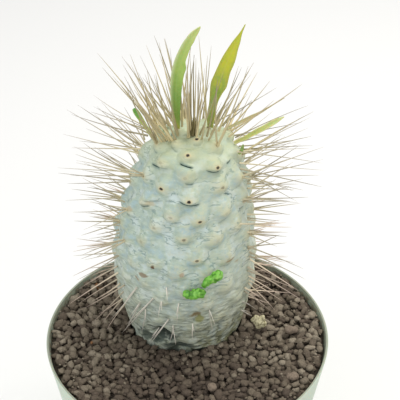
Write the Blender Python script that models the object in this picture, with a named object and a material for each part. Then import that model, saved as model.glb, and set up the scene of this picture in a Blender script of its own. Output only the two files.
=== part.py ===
"""Potted pachypodium: a barrel-trunked, spiny succulent in a round pale green pot.

Metres, +Z up. The origin is the middle of the pot's flat underside.
"""

import math
import random

import bmesh
import bpy
from mathutils import Matrix, Vector, noise
from mathutils.bvhtree import BVHTree

MM = 0.001
GAP = 0.3 * MM
# On a slanted or many-sided wall the level gap is a little wider than the true one.
SLANT_GAP = 1.2 * GAP

# The pot is a thin tapered wall with a flat floor and a ring of drain holes.
POT_RIM_RADIUS = 70.0 * MM
POT_HEIGHT = 120.0 * MM
POT_TAPER_DEGREES = 9.0
POT_TAPER = math.radians(POT_TAPER_DEGREES)
POT_WALL = 2.5 * MM
POT_FLOOR = 2.8 * MM
POT_RIM_ROUND = 0.7 * MM
POT_FOOT_ROUND = 2.0 * MM
POT_STEPS = 56
ROUND_STEPS = 3
DRAIN_COUNT = 6
DRAIN_RADIUS = 4.0 * MM
DRAIN_CIRCLE = 36.0 * MM
DRAIN_SIDES = 16

# The fill reaches to just under the rim, and its top is uneven.
SOIL_DROP = 4.2 * MM
SOIL_TOP = POT_HEIGHT - SOIL_DROP
SOIL_ROUGHNESS = 0.7 * MM
SOIL_BUMP_SIZE = 7.0 * MM
SOIL_STEPS = 52
SOIL_TOP_RINGS = 8

# The trunk stands behind the pot's middle and leans a little to the right.
TRUNK_X = -1.4 * MM
TRUNK_Y = 19.7 * MM
TRUNK_LEAN = 3.4 * MM
LEAN_START = 50.0 * MM
LEAN_LENGTH = 45.0 * MM
TRUNK_HEIGHT = 110.0 * MM
SHOULDER_HEIGHT = 99.0 * MM
# Height above the soil and radius over the tubercles, in millimetres.
BARREL_OUTLINE = ((0, 29.2), (9, 31.4), (22, 35.0), (38, 35.9), (54, 35.2), (71, 32.2), (87, 28.4),
                  (99, 23.6))
ROOT_DEPTH = 46.0 * MM
ROOT_NECK = 0.85
ROOT_TAPER = 1.6
TRUNK_STEPS = 64
BARREL_STEP = 2.7 * MM
ROOT_RINGS = 6

# Tubercles follow a spiral with the golden angle between neighbours, and fill in round those seen.
GOLDEN_ANGLE = math.radians(-137.508)
SPIRAL_START = math.radians(33.0)
CELL_AREA = 168.0 * MM * MM
CROWN_CELL = 0.42
CROWN_LENGTH = 25.0 * MM
FIRST_TUBERCLE = 4.5 * MM
LAST_TUBERCLE = 5.0 * MM
SMALLEST_TURN = 6.0 * MM
PACKING = 1.03
SEEN_REACH = 0.6
SPREAD_ROUNDS = 24
SPREAD_SHARE = 0.25
# Angle from the front in degrees, towards +X, and height above the soil in millimetres.
SEEN_TUBERCLES = ((22, 109.4), (-4, 106.4), (52, 107.2), (-69, 106.6), (32, 101.2), (-93, 96.3),
                  (-57, 93.5), (-30, 92.0), (34, 92.0), (64, 91.3), (-1, 88.4), (64, 80.5),
                  (-16, 80.5), (10, 78.6), (-64, 74.4), (-29, 73.7), (-2, 70.5), (-70, 65.8),
                  (-38, 65.0), (10, 59.3), (37, 56.0), (-24, 55.1), (64, 49.0))
TUBERCLE_LIFT = 3.0 * MM
TUBERCLE_UPPER = 11.0 * MM
TUBERCLE_LOWER = 5.4 * MM
TUBERCLE_HALF_WIDTH = 7.8 * MM
SMOOTH_FOOT = 14.0 * MM

# Spines stand in small groups, one group on each tubercle of the upper trunk.
CLUSTER_COUNT = 42
SPINE_SEED = 11
SPINE_FOOT_RADIUS = 0.95 * MM
SPINE_FOOT_DEPTH = 0.8 * MM
SPINE_WAIST = 0.55
SPINE_BOW = 0.4 * MM
SPINE_JITTER = math.radians(8.0)
SPINE_CLEARANCE = 0.95 * MM
SPINE_SAMPLES = 12
SPINE_TRIES = 60
SPINE_APART = math.radians(11.5)
SPINE_LENGTHS = (0.86, 1.1)
# The trunk's front bears no spines from its middle up to the crown.
BARE_ANGLE = math.radians(50.0)
BARE_BOTTOM = 36.0 * MM
BARE_TOP = 109.5 * MM
# Each spine of a group: sideways turn and rise in degrees, and share of the length.
SPINE_GROUP = ((-15.0, -3.5, 0.92), (15.0, -3.5, 1.0), (0.0, 12.5, 0.72))
# Height above the soil and spine length in millimetres, and angle over the horizon in degrees.
SPINE_HABIT = ((0, 26, -38), (20, 28, -24), (40, 24, -8), (58, 19, 6), (75, 28, 12), (90, 38, 20),
               (99, 42, 35), (105, 42, 62), (110, 41, 82))
# The foot of a group has one side for each face that its spines share out between them.
SPINE_FOOT_SIDES = 6
LID_FACING = 0.9
# A spine turns sideways no further than it would at this share of its level reach.
LEAST_LEVEL_SHARE = 0.35
LEAST_HEADING = 0.5
FIRST_SPINE_SAMPLE = 2
FEWEST_SPINES = 2

LEAF_THICKNESS = 0.9 * MM
LEAF_THINNING = 0.5
LEAF_FOLD = 0.36
LEAF_TAPER = 0.8
LEAF_SECTIONS = 14

# How far off a piece starts before it is brought up to what carries it.
SEAT_APPROACH = 12.0 * MM
CROWN_APPROACH = 30.0 * MM
SPROUT_APPROACH = 43.0 * MM
DROP_HEIGHT = 14.0 * MM
SPROUT_RISE = 0.1
SEAT_RINGS = (0.0, 0.55, 1.0)
SEAT_STEPS = 12
SETTLE_STEP = 0.03 * MM
LOBE_PITCH = 1.3

POT_GREEN = (0.62, 0.68, 0.58)
SOIL_BROWN = (0.13, 0.11, 0.085)
BARK_SAGE = (0.52, 0.57, 0.50)
SPINE_STRAW = (0.46, 0.38, 0.24)
LEAF_GREEN = (0.30, 0.46, 0.07)
LEAF_YELLOW = (0.50, 0.53, 0.08)
LEAF_KHAKI = (0.38, 0.37, 0.14)
SPROUT_GREEN = (0.12, 0.42, 0.05)
HUSK_STRAW = (0.60, 0.57, 0.42)
STONE_BROWN = (0.22, 0.17, 0.13)


def clear_scene():
    for obj in list(bpy.data.objects):
        bpy.data.objects.remove(obj, do_unlink=True)


def make_material(name, colour, roughness):
    material = bpy.data.materials.new(name)
    material.use_nodes = True
    shader = material.node_tree.nodes["Principled BSDF"]
    shader.inputs["Base Color"].default_value = (*colour, 1.0)
    shader.inputs["Roughness"].default_value = roughness
    shader.inputs["Metallic"].default_value = 0.0
    material.diffuse_color = (*colour, 1.0)
    return material


def add_part(name, bm, material, sharp_angle=40.0):
    """Turn a bmesh into a named, smooth-shaded object."""
    bmesh.ops.remove_doubles(bm, verts=bm.verts, dist=1e-6)
    bmesh.ops.recalc_face_normals(bm, faces=bm.faces)
    mesh = bpy.data.meshes.new(name)
    bm.to_mesh(mesh)
    bm.free()
    mesh.materials.append(material)
    mesh.shade_smooth()
    mesh.set_sharp_from_angle(angle=math.radians(sharp_angle))
    part = bpy.data.objects.new(name, mesh)
    bpy.context.collection.objects.link(part)
    return part


def surface_of(part):
    bm = bmesh.new()
    bm.from_mesh(part.data)
    bmesh.ops.triangulate(bm, faces=bm.faces)
    tree = BVHTree.FromBMesh(bm)
    bm.free()
    return tree


def smooth_step(value):
    t = min(max(value, 0.0), 1.0)
    return t * t * (3.0 - 2.0 * t)


def curve_value(points, position):
    """Smooth value through (position, value) points, flat beyond both ends."""
    if position <= points[0][0]:
        return points[0][1]
    for index in range(len(points) - 1):
        start, end = points[index], points[index + 1]
        if position <= end[0]:
            before = points[max(index - 1, 0)]
            after = points[min(index + 2, len(points) - 1)]
            span = end[0] - start[0]
            t = (position - start[0]) / span
            slope_in = (end[1] - before[1]) / (end[0] - before[0]) * span
            slope_out = (after[1] - start[1]) / (after[0] - start[0]) * span
            return ((2 * t**3 - 3 * t**2 + 1) * start[1] + (t**3 - 2 * t**2 + t) * slope_in
                    + (3 * t**2 - 2 * t**3) * end[1] + (t**3 - t**2) * slope_out)
    return points[-1][1]


def spin_outline(bm, outline, steps, tags=None):
    """Turn (radius, height) points about the Z axis. Tags follow each point round."""
    layer = bm.verts.layers.float.new("tag")
    verts = []
    for index, (radius, height) in enumerate(outline):
        vert = bm.verts.new((radius, 0.0, height))
        vert[layer] = tags[index] if tags else 0.0
        verts.append(vert)
    edges = [bm.edges.new(pair) for pair in zip(verts, verts[1:])]
    bmesh.ops.spin(bm, geom=verts + edges, axis=(0.0, 0.0, 1.0), cent=(0.0, 0.0, 0.0), angle=math.tau,
                   steps=steps, use_merge=True)
    bmesh.ops.remove_doubles(bm, verts=bm.verts, dist=1e-6)
    return layer


def corner_arc(centre, radius, start, end, steps):
    """Points of a rounded corner in the outline's plane; angles in degrees."""
    points = []
    for step in range(steps + 1):
        angle = math.radians(start + (end - start) * step / steps)
        points.append((centre[0] + radius * math.cos(angle), centre[1] + radius * math.sin(angle)))
    return points


def wall_radius(height, inset=0.0):
    """Radius of the pot's outer wall at a height, less an inset."""
    return POT_RIM_RADIUS - (POT_HEIGHT - height) * math.tan(POT_TAPER) - inset


def build_pot():
    rim_out = (wall_radius(POT_HEIGHT) - POT_RIM_ROUND, POT_HEIGHT - POT_RIM_ROUND)
    rim_in = (wall_radius(POT_HEIGHT, POT_WALL) + POT_RIM_ROUND, POT_HEIGHT - POT_RIM_ROUND)
    foot = (wall_radius(0.0) - POT_FOOT_ROUND, POT_FOOT_ROUND)
    outline = [(0.0, 0.0)]
    outer_turn = -POT_TAPER_DEGREES
    outline += corner_arc(foot, POT_FOOT_ROUND, -90.0, outer_turn, ROUND_STEPS)
    outline += corner_arc(rim_out, POT_RIM_ROUND, outer_turn, 90.0, ROUND_STEPS)
    outline += corner_arc(rim_in, POT_RIM_ROUND, 90.0, 180.0 + outer_turn, ROUND_STEPS)
    outline += [(wall_radius(POT_FLOOR, POT_WALL), POT_FLOOR), (0.0, POT_FLOOR)]
    bm = bmesh.new()
    spin_outline(bm, outline, POT_STEPS)
    pot = add_part("pot", bm, make_material("pot_moulded_plastic", POT_GREEN, 0.45))
    cut_drain_holes(pot)
    return pot


def cut_drain_holes(pot):
    bm = bmesh.new()
    for index in range(DRAIN_COUNT):
        angle = math.tau * (index + 0.5) / DRAIN_COUNT
        spot = (DRAIN_CIRCLE * math.cos(angle), DRAIN_CIRCLE * math.sin(angle), POT_FLOOR / 2)
        bmesh.ops.create_cone(bm, cap_ends=True, segments=DRAIN_SIDES, radius1=DRAIN_RADIUS,
                              radius2=DRAIN_RADIUS, depth=POT_FLOOR * 3, matrix=Matrix.Translation(spot))
    mesh = bpy.data.meshes.new("drain_cutter")
    bm.to_mesh(mesh)
    bm.free()
    cutter = bpy.data.objects.new("drain_cutter", mesh)
    bpy.context.collection.objects.link(cutter)
    cutter.hide_render = True
    cutter.display_type = "WIRE"
    cut = pot.modifiers.new("drain_holes", "BOOLEAN")
    cut.operation = "DIFFERENCE"
    cut.solver = "EXACT"
    cut.object = cutter


def barrel_radius(height):
    """Radius over the tubercles at a height above the soil; the crown is an elliptic dome."""
    if height > SHOULDER_HEIGHT:
        rise = (height - SHOULDER_HEIGHT) / (TRUNK_HEIGHT - SHOULDER_HEIGHT)
        return BARREL_OUTLINE[-1][1] * MM * math.sqrt(max(0.0, 1.0 - rise * rise))
    return curve_value(BARREL_OUTLINE, height / MM) * MM


def trunk_axis(height):
    """Middle of the trunk at a height above the soil."""
    lean = TRUNK_LEAN * smooth_step((height - LEAN_START) / LEAN_LENGTH)
    return Vector((TRUNK_X + lean, TRUNK_Y, SOIL_TOP + height))


class Meridian:
    """The barrel's outline from the crown's tip down to the soil, measured along its length."""

    SAMPLES = 400
    NORMAL_STEP = 1.5 * MM

    def __init__(self):
        self.points = []
        dome = BARREL_OUTLINE[-1][1] * MM
        for step in range(self.SAMPLES // 4):
            angle = math.pi / 2 * step / (self.SAMPLES // 4)
            height = SHOULDER_HEIGHT + (TRUNK_HEIGHT - SHOULDER_HEIGHT) * math.cos(angle)
            self.points.append((dome * math.sin(angle), height))
        for step in range(self.SAMPLES + 1):
            height = SHOULDER_HEIGHT * (1.0 - step / self.SAMPLES)
            self.points.append((barrel_radius(height), height))
        self.lengths = [0.0]
        for (r0, h0), (r1, h1) in zip(self.points, self.points[1:]):
            self.lengths.append(self.lengths[-1] + math.hypot(r1 - r0, h1 - h0))
        self.total = self.lengths[-1]

    def index_at(self, length):
        low, high = 0, len(self.lengths) - 2
        while low < high:
            middle = (low + high + 1) // 2
            if self.lengths[middle] <= length:
                low = middle
            else:
                high = middle - 1
        return low

    def at(self, length):
        """Radius and height at a length from the tip."""
        index = self.index_at(length)
        span = self.lengths[index + 1] - self.lengths[index]
        t = min(max((length - self.lengths[index]) / span, 0.0), 1.0)
        (r0, h0), (r1, h1) = self.points[index], self.points[index + 1]
        return r0 + (r1 - r0) * t, h0 + (h1 - h0) * t

    def normal(self, length):
        """Outward normal as (radial, vertical)."""
        r0, h0 = self.at(max(length - self.NORMAL_STEP, 0.0))
        r1, h1 = self.at(min(length + self.NORMAL_STEP, self.total))
        size = math.hypot(r1 - r0, h1 - h0)
        return (h0 - h1) / size, (r1 - r0) / size

    def length_at(self, height):
        """Length from the tip down to a height above the soil."""
        index = min(range(len(self.points)), key=lambda item: abs(self.points[item][1] - height))
        return self.lengths[index]


def radial(angle):
    """Level unit vector at an angle from the front."""
    return Vector((math.sin(angle), -math.cos(angle), 0.0))


class Tubercle:
    """One swelling of the bark: where its tip is, and how large it is."""

    def __init__(self, meridian, angle, length):
        self.angle = angle
        self.length = min(max(length, FIRST_TUBERCLE), meridian.total - LAST_TUBERCLE)
        self.radius, self.height = meridian.at(self.length)
        growth = min(self.length / CROWN_LENGTH, 1.0)
        self.size = math.sqrt(CROWN_CELL + (1.0 - CROWN_CELL) * growth)
        self.spot = radial(angle) * self.radius + Vector((0.0, 0.0, self.height))

    def spacing(self):
        """Distance to the next tubercles when all stand evenly."""
        return PACKING * self.size * math.sqrt(CELL_AREA)

    def pushed(self, meridian, others):
        """The same tubercle moved away from those that stand too close."""
        push = Vector()
        for other in others:
            offset = self.spot - other.spot
            if other is not self and 0.0 < offset.length < self.spacing():
                push += offset.normalized() * (self.spacing() - offset.length)
        out, up = meridian.normal(self.length)
        around = Vector((math.cos(self.angle), math.sin(self.angle), 0.0))
        down = radial(self.angle) * up - Vector((0.0, 0.0, out))
        turn = push.dot(around) * SPREAD_SHARE / max(self.radius, SMALLEST_TURN)
        return Tubercle(meridian, self.angle + turn, self.length + push.dot(down) * SPREAD_SHARE)


def place_tubercles(meridian):
    """Tubercles where they are seen, and a golden spiral of others that gives way to them."""
    seen = [Tubercle(meridian, math.radians(angle), meridian.length_at(height * MM))
            for angle, height in SEEN_TUBERCLES]
    free = []
    length = FIRST_TUBERCLE
    angle = SPIRAL_START
    while length < meridian.total - LAST_TUBERCLE:
        tubercle = Tubercle(meridian, angle, length)
        if all((tubercle.spot - old.spot).length > SEEN_REACH * tubercle.spacing() for old in seen):
            free.append(tubercle)
        angle += GOLDEN_ANGLE
        length += CELL_AREA * tubercle.size**2 / (math.tau * max(tubercle.radius, SMALLEST_TURN))
    for _ in range(SPREAD_ROUNDS):
        free = [tubercle.pushed(meridian, seen + free) for tubercle in free]
    return sorted(seen + free, key=lambda tubercle: tubercle.length)


def bark_lift(tubercles, angle, length, radius, height):
    """How far the bark stands above its hollows at one spot."""
    lift = 0.0
    for tubercle in tubercles:
        drop = length - tubercle.length
        if abs(drop) > TUBERCLE_UPPER:
            continue
        turn = (angle - tubercle.angle + math.pi) % math.tau - math.pi
        reach = TUBERCLE_LOWER if drop > 0.0 else TUBERCLE_UPPER
        distance = math.hypot(turn * radius / TUBERCLE_HALF_WIDTH, drop / reach) / tubercle.size
        lift = max(lift, tubercle.size * smooth_step(1.0 - distance))
    return TUBERCLE_LIFT * lift * smooth_step(height / SMOOTH_FOOT)


def root_outline():
    """The trunk's foot below the soil, from the soil line down to its tip."""
    points = []
    for ring in range(1, ROOT_RINGS):
        t = ring / ROOT_RINGS
        points.append((barrel_radius(0.0) * (1.0 - t**ROOT_TAPER * ROOT_NECK), -ROOT_DEPTH * t))
    points.append((0.0, -ROOT_DEPTH))
    return points


def build_trunk(meridian, tubercles):
    """One grown piece: the barrel with its tubercles, and the root under it."""
    rings = round(meridian.total / BARREL_STEP)
    lengths = [meridian.total * ring / rings for ring in range(rings + 1)]
    outline = [meridian.at(length) for length in lengths]
    tags = lengths + [meridian.total + 1.0] * ROOT_RINGS
    bm = bmesh.new()
    layer = spin_outline(bm, outline + root_outline(), TRUNK_STEPS, tags)
    for vert in bm.verts:
        radius = math.hypot(vert.co.x, vert.co.y)
        height = vert.co.z
        if vert[layer] <= meridian.total and radius > 0.01 * MM:
            angle = math.atan2(vert.co.x, -vert.co.y)
            out, up = meridian.normal(vert[layer])
            sunk = TUBERCLE_LIFT * smooth_step(height / SMOOTH_FOOT)
            lift = bark_lift(tubercles, angle, vert[layer], radius, height) - sunk
            vert.co += (radial(angle) * out + Vector((0.0, 0.0, up))) * lift
        elif vert[layer] <= meridian.total:
            vert.co.z -= TUBERCLE_LIFT / 2
        vert.co += trunk_axis(height) - Vector((0.0, 0.0, height))
    return add_part("trunk", bm, make_material("bark_sage_grey", BARK_SAGE, 0.6), 70.0)


def build_soil():
    """Gritty fill: the pot's inside less the root, with an uneven top."""
    hollow = [(radius + SLANT_GAP, height - SLANT_GAP) for radius, height in root_outline()]
    hollow[-1] = (0.0, hollow[-1][1])
    hole = barrel_radius(0.0) + SLANT_GAP
    edge = wall_radius(SOIL_TOP, POT_WALL + SLANT_GAP)
    outline = [(radius, SOIL_TOP + height) for radius, height in reversed(hollow)]
    tags = [1.0] * len(outline)
    for ring in range(SOIL_TOP_RINGS + 1):
        t = ring / SOIL_TOP_RINGS
        outline.append((hole + (edge - hole) * t, SOIL_TOP))
        tags.append(1.0 - t)
    floor = POT_FLOOR + GAP
    outline += [(wall_radius(floor, POT_WALL + SLANT_GAP), floor), (0.0, floor)]
    tags += [0.0, 0.0]
    bm = bmesh.new()
    layer = spin_outline(bm, outline, SOIL_STEPS, tags)
    for vert in bm.verts:
        share = vert[layer]
        if 0.0 < share < 1.0:
            bump = noise.noise(Vector((vert.co.x, vert.co.y, 0.5)) / SOIL_BUMP_SIZE)
            vert.co.z += SOIL_ROUGHNESS * 2.0 * bump
        vert.co += Vector((TRUNK_X, TRUNK_Y, 0.0)) * share
    return add_part("soil_mix", bm, make_material("grit_dark_brown", SOIL_BROWN, 0.95), 60.0)


def skin_sections(bm, sections, tip):
    """Join closed rings of points into a body that ends in a point."""
    previous = [bm.verts.new(point) for point in sections[0]]
    bm.faces.new(previous)
    count = len(previous)
    for section in sections[1:]:
        ring = [bm.verts.new(point) for point in section]
        for side in range(count):
            after = (side + 1) % count
            bm.faces.new((previous[side], previous[after], ring[after], ring[side]))
        previous = ring
    end = bm.verts.new(tip)
    for side in range(count):
        bm.faces.new((previous[side], previous[(side + 1) % count], end))


def bezier(points, t):
    a, b, c, d = points
    s = 1.0 - t
    return a * s**3 + b * 3 * s * s * t + c * 3 * s * t * t + d * t**3


def bezier_tangent(points, t):
    a, b, c, d = points
    s = 1.0 - t
    return ((b - a) * s * s + (c - b) * 2 * s * t + (d - c) * t * t).normalized()


class Leaf:
    """A thin folded blade on the crown. Places are in millimetres, steps count from its foot."""

    def __init__(self, name, foot, steps, width, face, fullest=0.5, foot_share=0.5):
        self.name = name
        self.foot = foot
        self.steps = [Vector(step) * MM for step in steps]
        self.width = width * MM
        self.face = Vector(face)
        self.fullest = fullest
        self.foot_share = foot_share

    def half_width(self, t):
        """Narrow foot, fullest part, pointed tip; t runs from the foot to the tip."""
        if t < self.fullest:
            share = self.foot_share + (1.0 - self.foot_share) * smooth_step(t / self.fullest)
        else:
            quarter = (t - self.fullest) / (1.0 - self.fullest) * math.pi / 2
            share = max(math.cos(quarter), 0.0) ** LEAF_TAPER
        return self.width / 2 * share

    def build(self, tree, material):
        """Stand the leaf on the surface and skin its sections."""
        lean = self.steps[0].normalized()
        seat_radius = self.width * self.foot_share
        start = crown_spot(tree, self.foot[0] * MM, self.foot[1] * MM, lean, seat_radius)
        path = [start] + [start + step for step in self.steps]
        sections = []
        for ring in range(LEAF_SECTIONS):
            t = ring / LEAF_SECTIONS
            centre = bezier(path, t)
            along = bezier_tangent(path, t)
            across = along.cross(self.face).normalized()
            up = across.cross(along).normalized()
            side = across * self.half_width(t)
            rib = up * (LEAF_THICKNESS / 2 * (1.0 - LEAF_THINNING * t))
            edge = centre + up * (self.half_width(t) * LEAF_FOLD)
            sections.append([edge - side, centre - rib, edge + side, centre + rib])
        bm = bmesh.new()
        skin_sections(bm, sections, path[3])
        return add_part(self.name, bm, material, 50.0)


def seat_distance(tree, start, inward, radius):
    """Distance along inward from start to the first touch of a disc of that radius."""
    side = inward.orthogonal().normalized()
    other = inward.cross(side)
    nearest = None
    for ring in SEAT_RINGS:
        for step in range(SEAT_STEPS if ring else 1):
            angle = math.tau * step / SEAT_STEPS
            offset = (side * math.cos(angle) + other * math.sin(angle)) * radius * ring
            hit = tree.ray_cast(start + offset, inward)
            if hit[0] is not None and (nearest is None or hit[3] < nearest):
                nearest = hit[3]
    return nearest


def crown_spot(tree, x, y, lean, radius):
    """Point just over the bark where a leaf's foot of that radius stands."""
    above = Vector((x, y, SOIL_TOP + TRUNK_HEIGHT + CROWN_APPROACH))
    start = tree.ray_cast(above, Vector((0.0, 0.0, -1.0)))[0] + lean * CROWN_APPROACH
    return start - lean * (seat_distance(tree, start, -lean, radius) - GAP)


def build_leaves(tree):
    green = make_material("leaf_fresh_green", LEAF_GREEN, 0.45)
    yellow = make_material("leaf_turning_yellow", LEAF_YELLOW, 0.45)
    khaki = make_material("leaf_dry_khaki", LEAF_KHAKI, 0.6)
    front = (0.0, -1.0, 0.15)
    leaves = (
        (green, Leaf("leaf_long", (-4.3, 22.0),
                     ((-0.8, 0.0, 18.0), (-1.2, 0.0, 38.0), (10.8, -1.0, 50.8)), 6.0, front)),
        (yellow, Leaf("leaf_broad", (11.0, 24.0),
                      ((0.2, 0.0, 16.0), (6.5, 0.0, 32.0), (14.8, 0.0, 50.8)), 7.4,
                      (-0.25, -1.0, 0.15), 0.5, 0.4)),
        (yellow, Leaf("leaf_right_narrow", (21.5, 19.0),
                      ((7.0, -1.0, 4.5), (13.0, -1.0, 8.5), (21.5, -1.5, 14.5)), 3.0,
                      (-0.2, -0.7, 0.6))),
        (khaki, Leaf("leaf_right_khaki", (17.5, 26.0),
                     ((7.5, 0.0, 4.0), (15.0, 0.0, 8.5), (25.5, 0.0, 16.0)), 2.4,
                     (-0.3, -0.7, 0.6))),
        (green, Leaf("leaf_stub", (-15.5, 23.0),
                     ((-2.2, 0.0, 4.5), (-4.6, 0.0, 9.0), (-7.8, 0.0, 15.0)), 3.4, front, 0.62, 0.6)),
        (green, Leaf("leaf_bud_left", (-10.2, 25.0),
                     ((-0.3, -0.4, 1.6), (-0.7, -0.6, 3.2), (-1.2, -0.8, 5.2)), 1.9, front, 0.45, 0.6)),
        (green, Leaf("leaf_bud_right", (24.0, 15.0),
                     ((0.8, -0.6, 1.6), (1.2, -0.9, 3.2), (1.4, -1.2, 5.4)), 1.8, front, 0.45, 0.6)),
    )
    return [leaf.build(tree, material) for material, leaf in leaves]


def lobed_body(name, material, centre, size, seed, roughness, turn=0.0, detail=2):
    """A rounded lump whose surface swells and dips with a smooth noise."""
    bm = bmesh.new()
    bmesh.ops.create_icosphere(bm, subdivisions=detail, radius=1.0)
    for vert in bm.verts:
        swell = noise.noise(vert.co * LOBE_PITCH + Vector((seed, -seed, 0.0)))
        vert.co = vert.co * (1.0 + roughness * swell)
    bmesh.ops.scale(bm, vec=Vector(size) * MM / 2, verts=bm.verts)
    tilt = Matrix.Rotation(math.radians(turn), 3, "Y")
    bmesh.ops.rotate(bm, verts=bm.verts, cent=(0.0, 0.0, 0.0), matrix=tilt)
    bmesh.ops.translate(bm, vec=centre, verts=bm.verts)
    return add_part(name, bm, material, 80.0)


def settle(part, tree, direction):
    """Slide a part along a direction until it lies one gap from the surface."""
    step = direction.normalized()
    hits = (tree.ray_cast(vert.co, step) for vert in part.data.vertices)
    nearest = min(hit[3] for hit in hits if hit[0] is not None)
    part.data.transform(Matrix.Translation(step * (nearest - GAP)))
    # Facets between corners can stand proud, so the part backs off until it is clear.
    while min(tree.find_nearest(vert.co)[3] for vert in part.data.vertices) < GAP:
        part.data.transform(Matrix.Translation(-step * SETTLE_STEP))


def build_sprouts(tree):
    """Two fleshy shoots low on the trunk's front. Angle in degrees, height and size in millimetres."""
    green = make_material("sprout_fleshy_green", SPROUT_GREEN, 0.35)
    places = (("sprout_lower", 8.0, 39.3, (9.4, 3.8, 6.4), 3.1, 8.0),
              ("sprout_upper", 21.5, 47.3, (11.0, 4.0, 6.8), 7.4, -14.0))
    for name, angle, height, size, seed, turn in places:
        outward = (radial(math.radians(angle)) + Vector((0.0, 0.0, SPROUT_RISE))).normalized()
        centre = trunk_axis(height * MM) + outward * SPROUT_APPROACH
        sprout = lobed_body(name, green, centre, size, seed, 0.5, turn)
        settle(sprout, tree, -outward)


def build_loose_pieces(soil_tree):
    """The straw-coloured husk at the trunk's foot and the three largest stones, in millimetres."""
    husk = make_material("husk_dry_straw", HUSK_STRAW, 0.8)
    stone = make_material("stone_brown", STONE_BROWN, 0.9)
    places = (("husk", husk, (37.0, 7.0), (7.0, 5.2, 7.6), 2.2, 0.35),
              ("stone_right", stone, (52.0, 1.5), (6.6, 5.4, 4.4), 5.1, 0.5),
              ("stone_front_right", stone, (50.5, -30.5), (6.0, 5.2, 4.2), 8.3, 0.5),
              ("stone_front", stone, (12.0, -37.0), (5.4, 5.0, 4.0), 12.9, 0.5))
    for name, material, (x, y), size, seed, roughness in places:
        centre = Vector((x * MM, y * MM, SOIL_TOP + DROP_HEIGHT))
        lump = lobed_body(name, material, centre, size, seed, roughness)
        settle(lump, soil_tree, Vector((0.0, 0.0, -1.0)))


def draw_out(bm, faces):
    """Extrude a group of faces in place and return the new vertices and faces."""
    grown = bmesh.ops.extrude_face_region(bm, geom=faces)["geom"]
    bmesh.ops.delete(bm, geom=faces, context="FACES")
    verts = [item for item in grown if isinstance(item, bmesh.types.BMVert)]
    return verts, [item for item in grown if isinstance(item, bmesh.types.BMFace)]


def spine_root(bm, faces, middle, tip):
    """Draw a group of foot faces out to a waist and then to a point."""
    ring, caps = draw_out(bm, faces)
    centre = sum((vert.co for vert in ring), Vector()) / len(ring)
    for vert in ring:
        vert.co = middle + (vert.co - centre) * SPINE_WAIST
    ring, caps = draw_out(bm, caps)
    bmesh.ops.pointmerge(bm, verts=ring, merge_co=tip)


def share_out(lid, middle, axis, side, tips):
    """Group the faces of a foot's lid so that each spine gets those on its own side."""
    other = axis.cross(side)

    def bearing(point):
        offset = point - middle
        return math.atan2(offset.dot(other), offset.dot(side)) % math.tau

    lid = sorted(lid, key=lambda face: bearing(face.calc_center_median()))
    order = sorted(range(len(tips)), key=lambda index: bearing(tips[index]))
    share = len(lid) // len(tips)

    def group(first, rank):
        return [lid[(first + rank * share + extra) % len(lid)] for extra in range(share)]

    def misfit(first):
        total = 0.0
        for rank, index in enumerate(order):
            first_face = bearing(group(first, rank)[0].calc_center_median())
            aim = first_face + math.tau * (share - 1) / (2 * len(lid))
            total += 1.0 - math.cos(aim - bearing(tips[index]))
        return total

    best = min(range(len(lid)), key=misfit)
    return [(group(best, rank), tips[index]) for rank, index in enumerate(order)]


def build_cluster(name, material, seat, axis, tips):
    """A many-sided foot with one tapering spine for each tip."""
    turn = axis.to_track_quat("Z", "Y").to_matrix()
    place = Matrix.Translation(seat + axis * SPINE_FOOT_DEPTH / 2) @ turn.to_4x4()
    bm = bmesh.new()
    bmesh.ops.create_cone(bm, cap_ends=True, cap_tris=True, segments=SPINE_FOOT_SIDES,
                          radius1=SPINE_FOOT_RADIUS, radius2=SPINE_FOOT_RADIUS,
                          depth=SPINE_FOOT_DEPTH, matrix=place)
    lid = [face for face in bm.faces if len(face.verts) == 3 and face.normal.dot(axis) > LID_FACING]
    middle = seat + axis * SPINE_FOOT_DEPTH
    for faces, tip in share_out(lid, middle, axis, turn.col[0], tips):
        root = sum((face.calc_center_median() for face in faces), Vector()) / len(faces)
        spine_root(bm, faces, root.lerp(tip, 0.5) + axis * SPINE_BOW, tip)
    return add_part(name, bm, material, 30.0)


def habit(height, column):
    """Length or rise of the spines at a height above the soil."""
    return curve_value([(row[0], row[column]) for row in SPINE_HABIT], height / MM)


def spine_direction(tubercle, turn=0.0, rise_change=0.0):
    """Unit vector of one spine: out from the trunk, turned sideways and raised by habit."""
    rise = math.radians(habit(tubercle.height, 2)) + rise_change
    angle = tubercle.angle + turn / max(math.cos(rise), LEAST_LEVEL_SHARE)
    return radial(angle) * math.cos(rise) + Vector((0.0, 0.0, math.sin(rise)))


def is_apart(trees, point, distance):
    """Whether every surface is farther from the point than the distance."""
    return all(tree.find_nearest(point, distance)[0] is None for tree in trees)


def is_clear(trees, start, tip):
    """Whether the line from start to tip keeps its distance from every surface."""
    # The first stretch stands on the bark, so it isn't tested.
    steps = range(FIRST_SPINE_SAMPLE, SPINE_SAMPLES + 1)
    points = (start.lerp(tip, step / SPINE_SAMPLES) for step in steps)
    return all(is_apart(trees, point, SPINE_CLEARANCE) for point in points)


def spine_tips(tubercle, seat, axis, standing, chance):
    """Tips of the spines that find room to grow from one seat."""
    tips = []
    for turn, lift, share in SPINE_GROUP:
        for attempt in range(SPINE_TRIES):
            loose = SPINE_JITTER * (1.0 + attempt / SPINE_TRIES)
            side = math.radians(turn) + chance.uniform(-loose, loose)
            rise_change = math.radians(lift) + chance.uniform(-loose, loose)
            heading = spine_direction(tubercle, side, rise_change)
            length = habit(tubercle.height, 1) * MM * share * chance.uniform(*SPINE_LENGTHS)
            tip = seat + heading * length
            apart = all((tip - seat).angle(old - seat) > SPINE_APART for old in tips)
            if heading.dot(axis) > LEAST_HEADING and apart and is_clear(standing, seat, tip):
                tips.append(tip)
                break
    return tips


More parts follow.
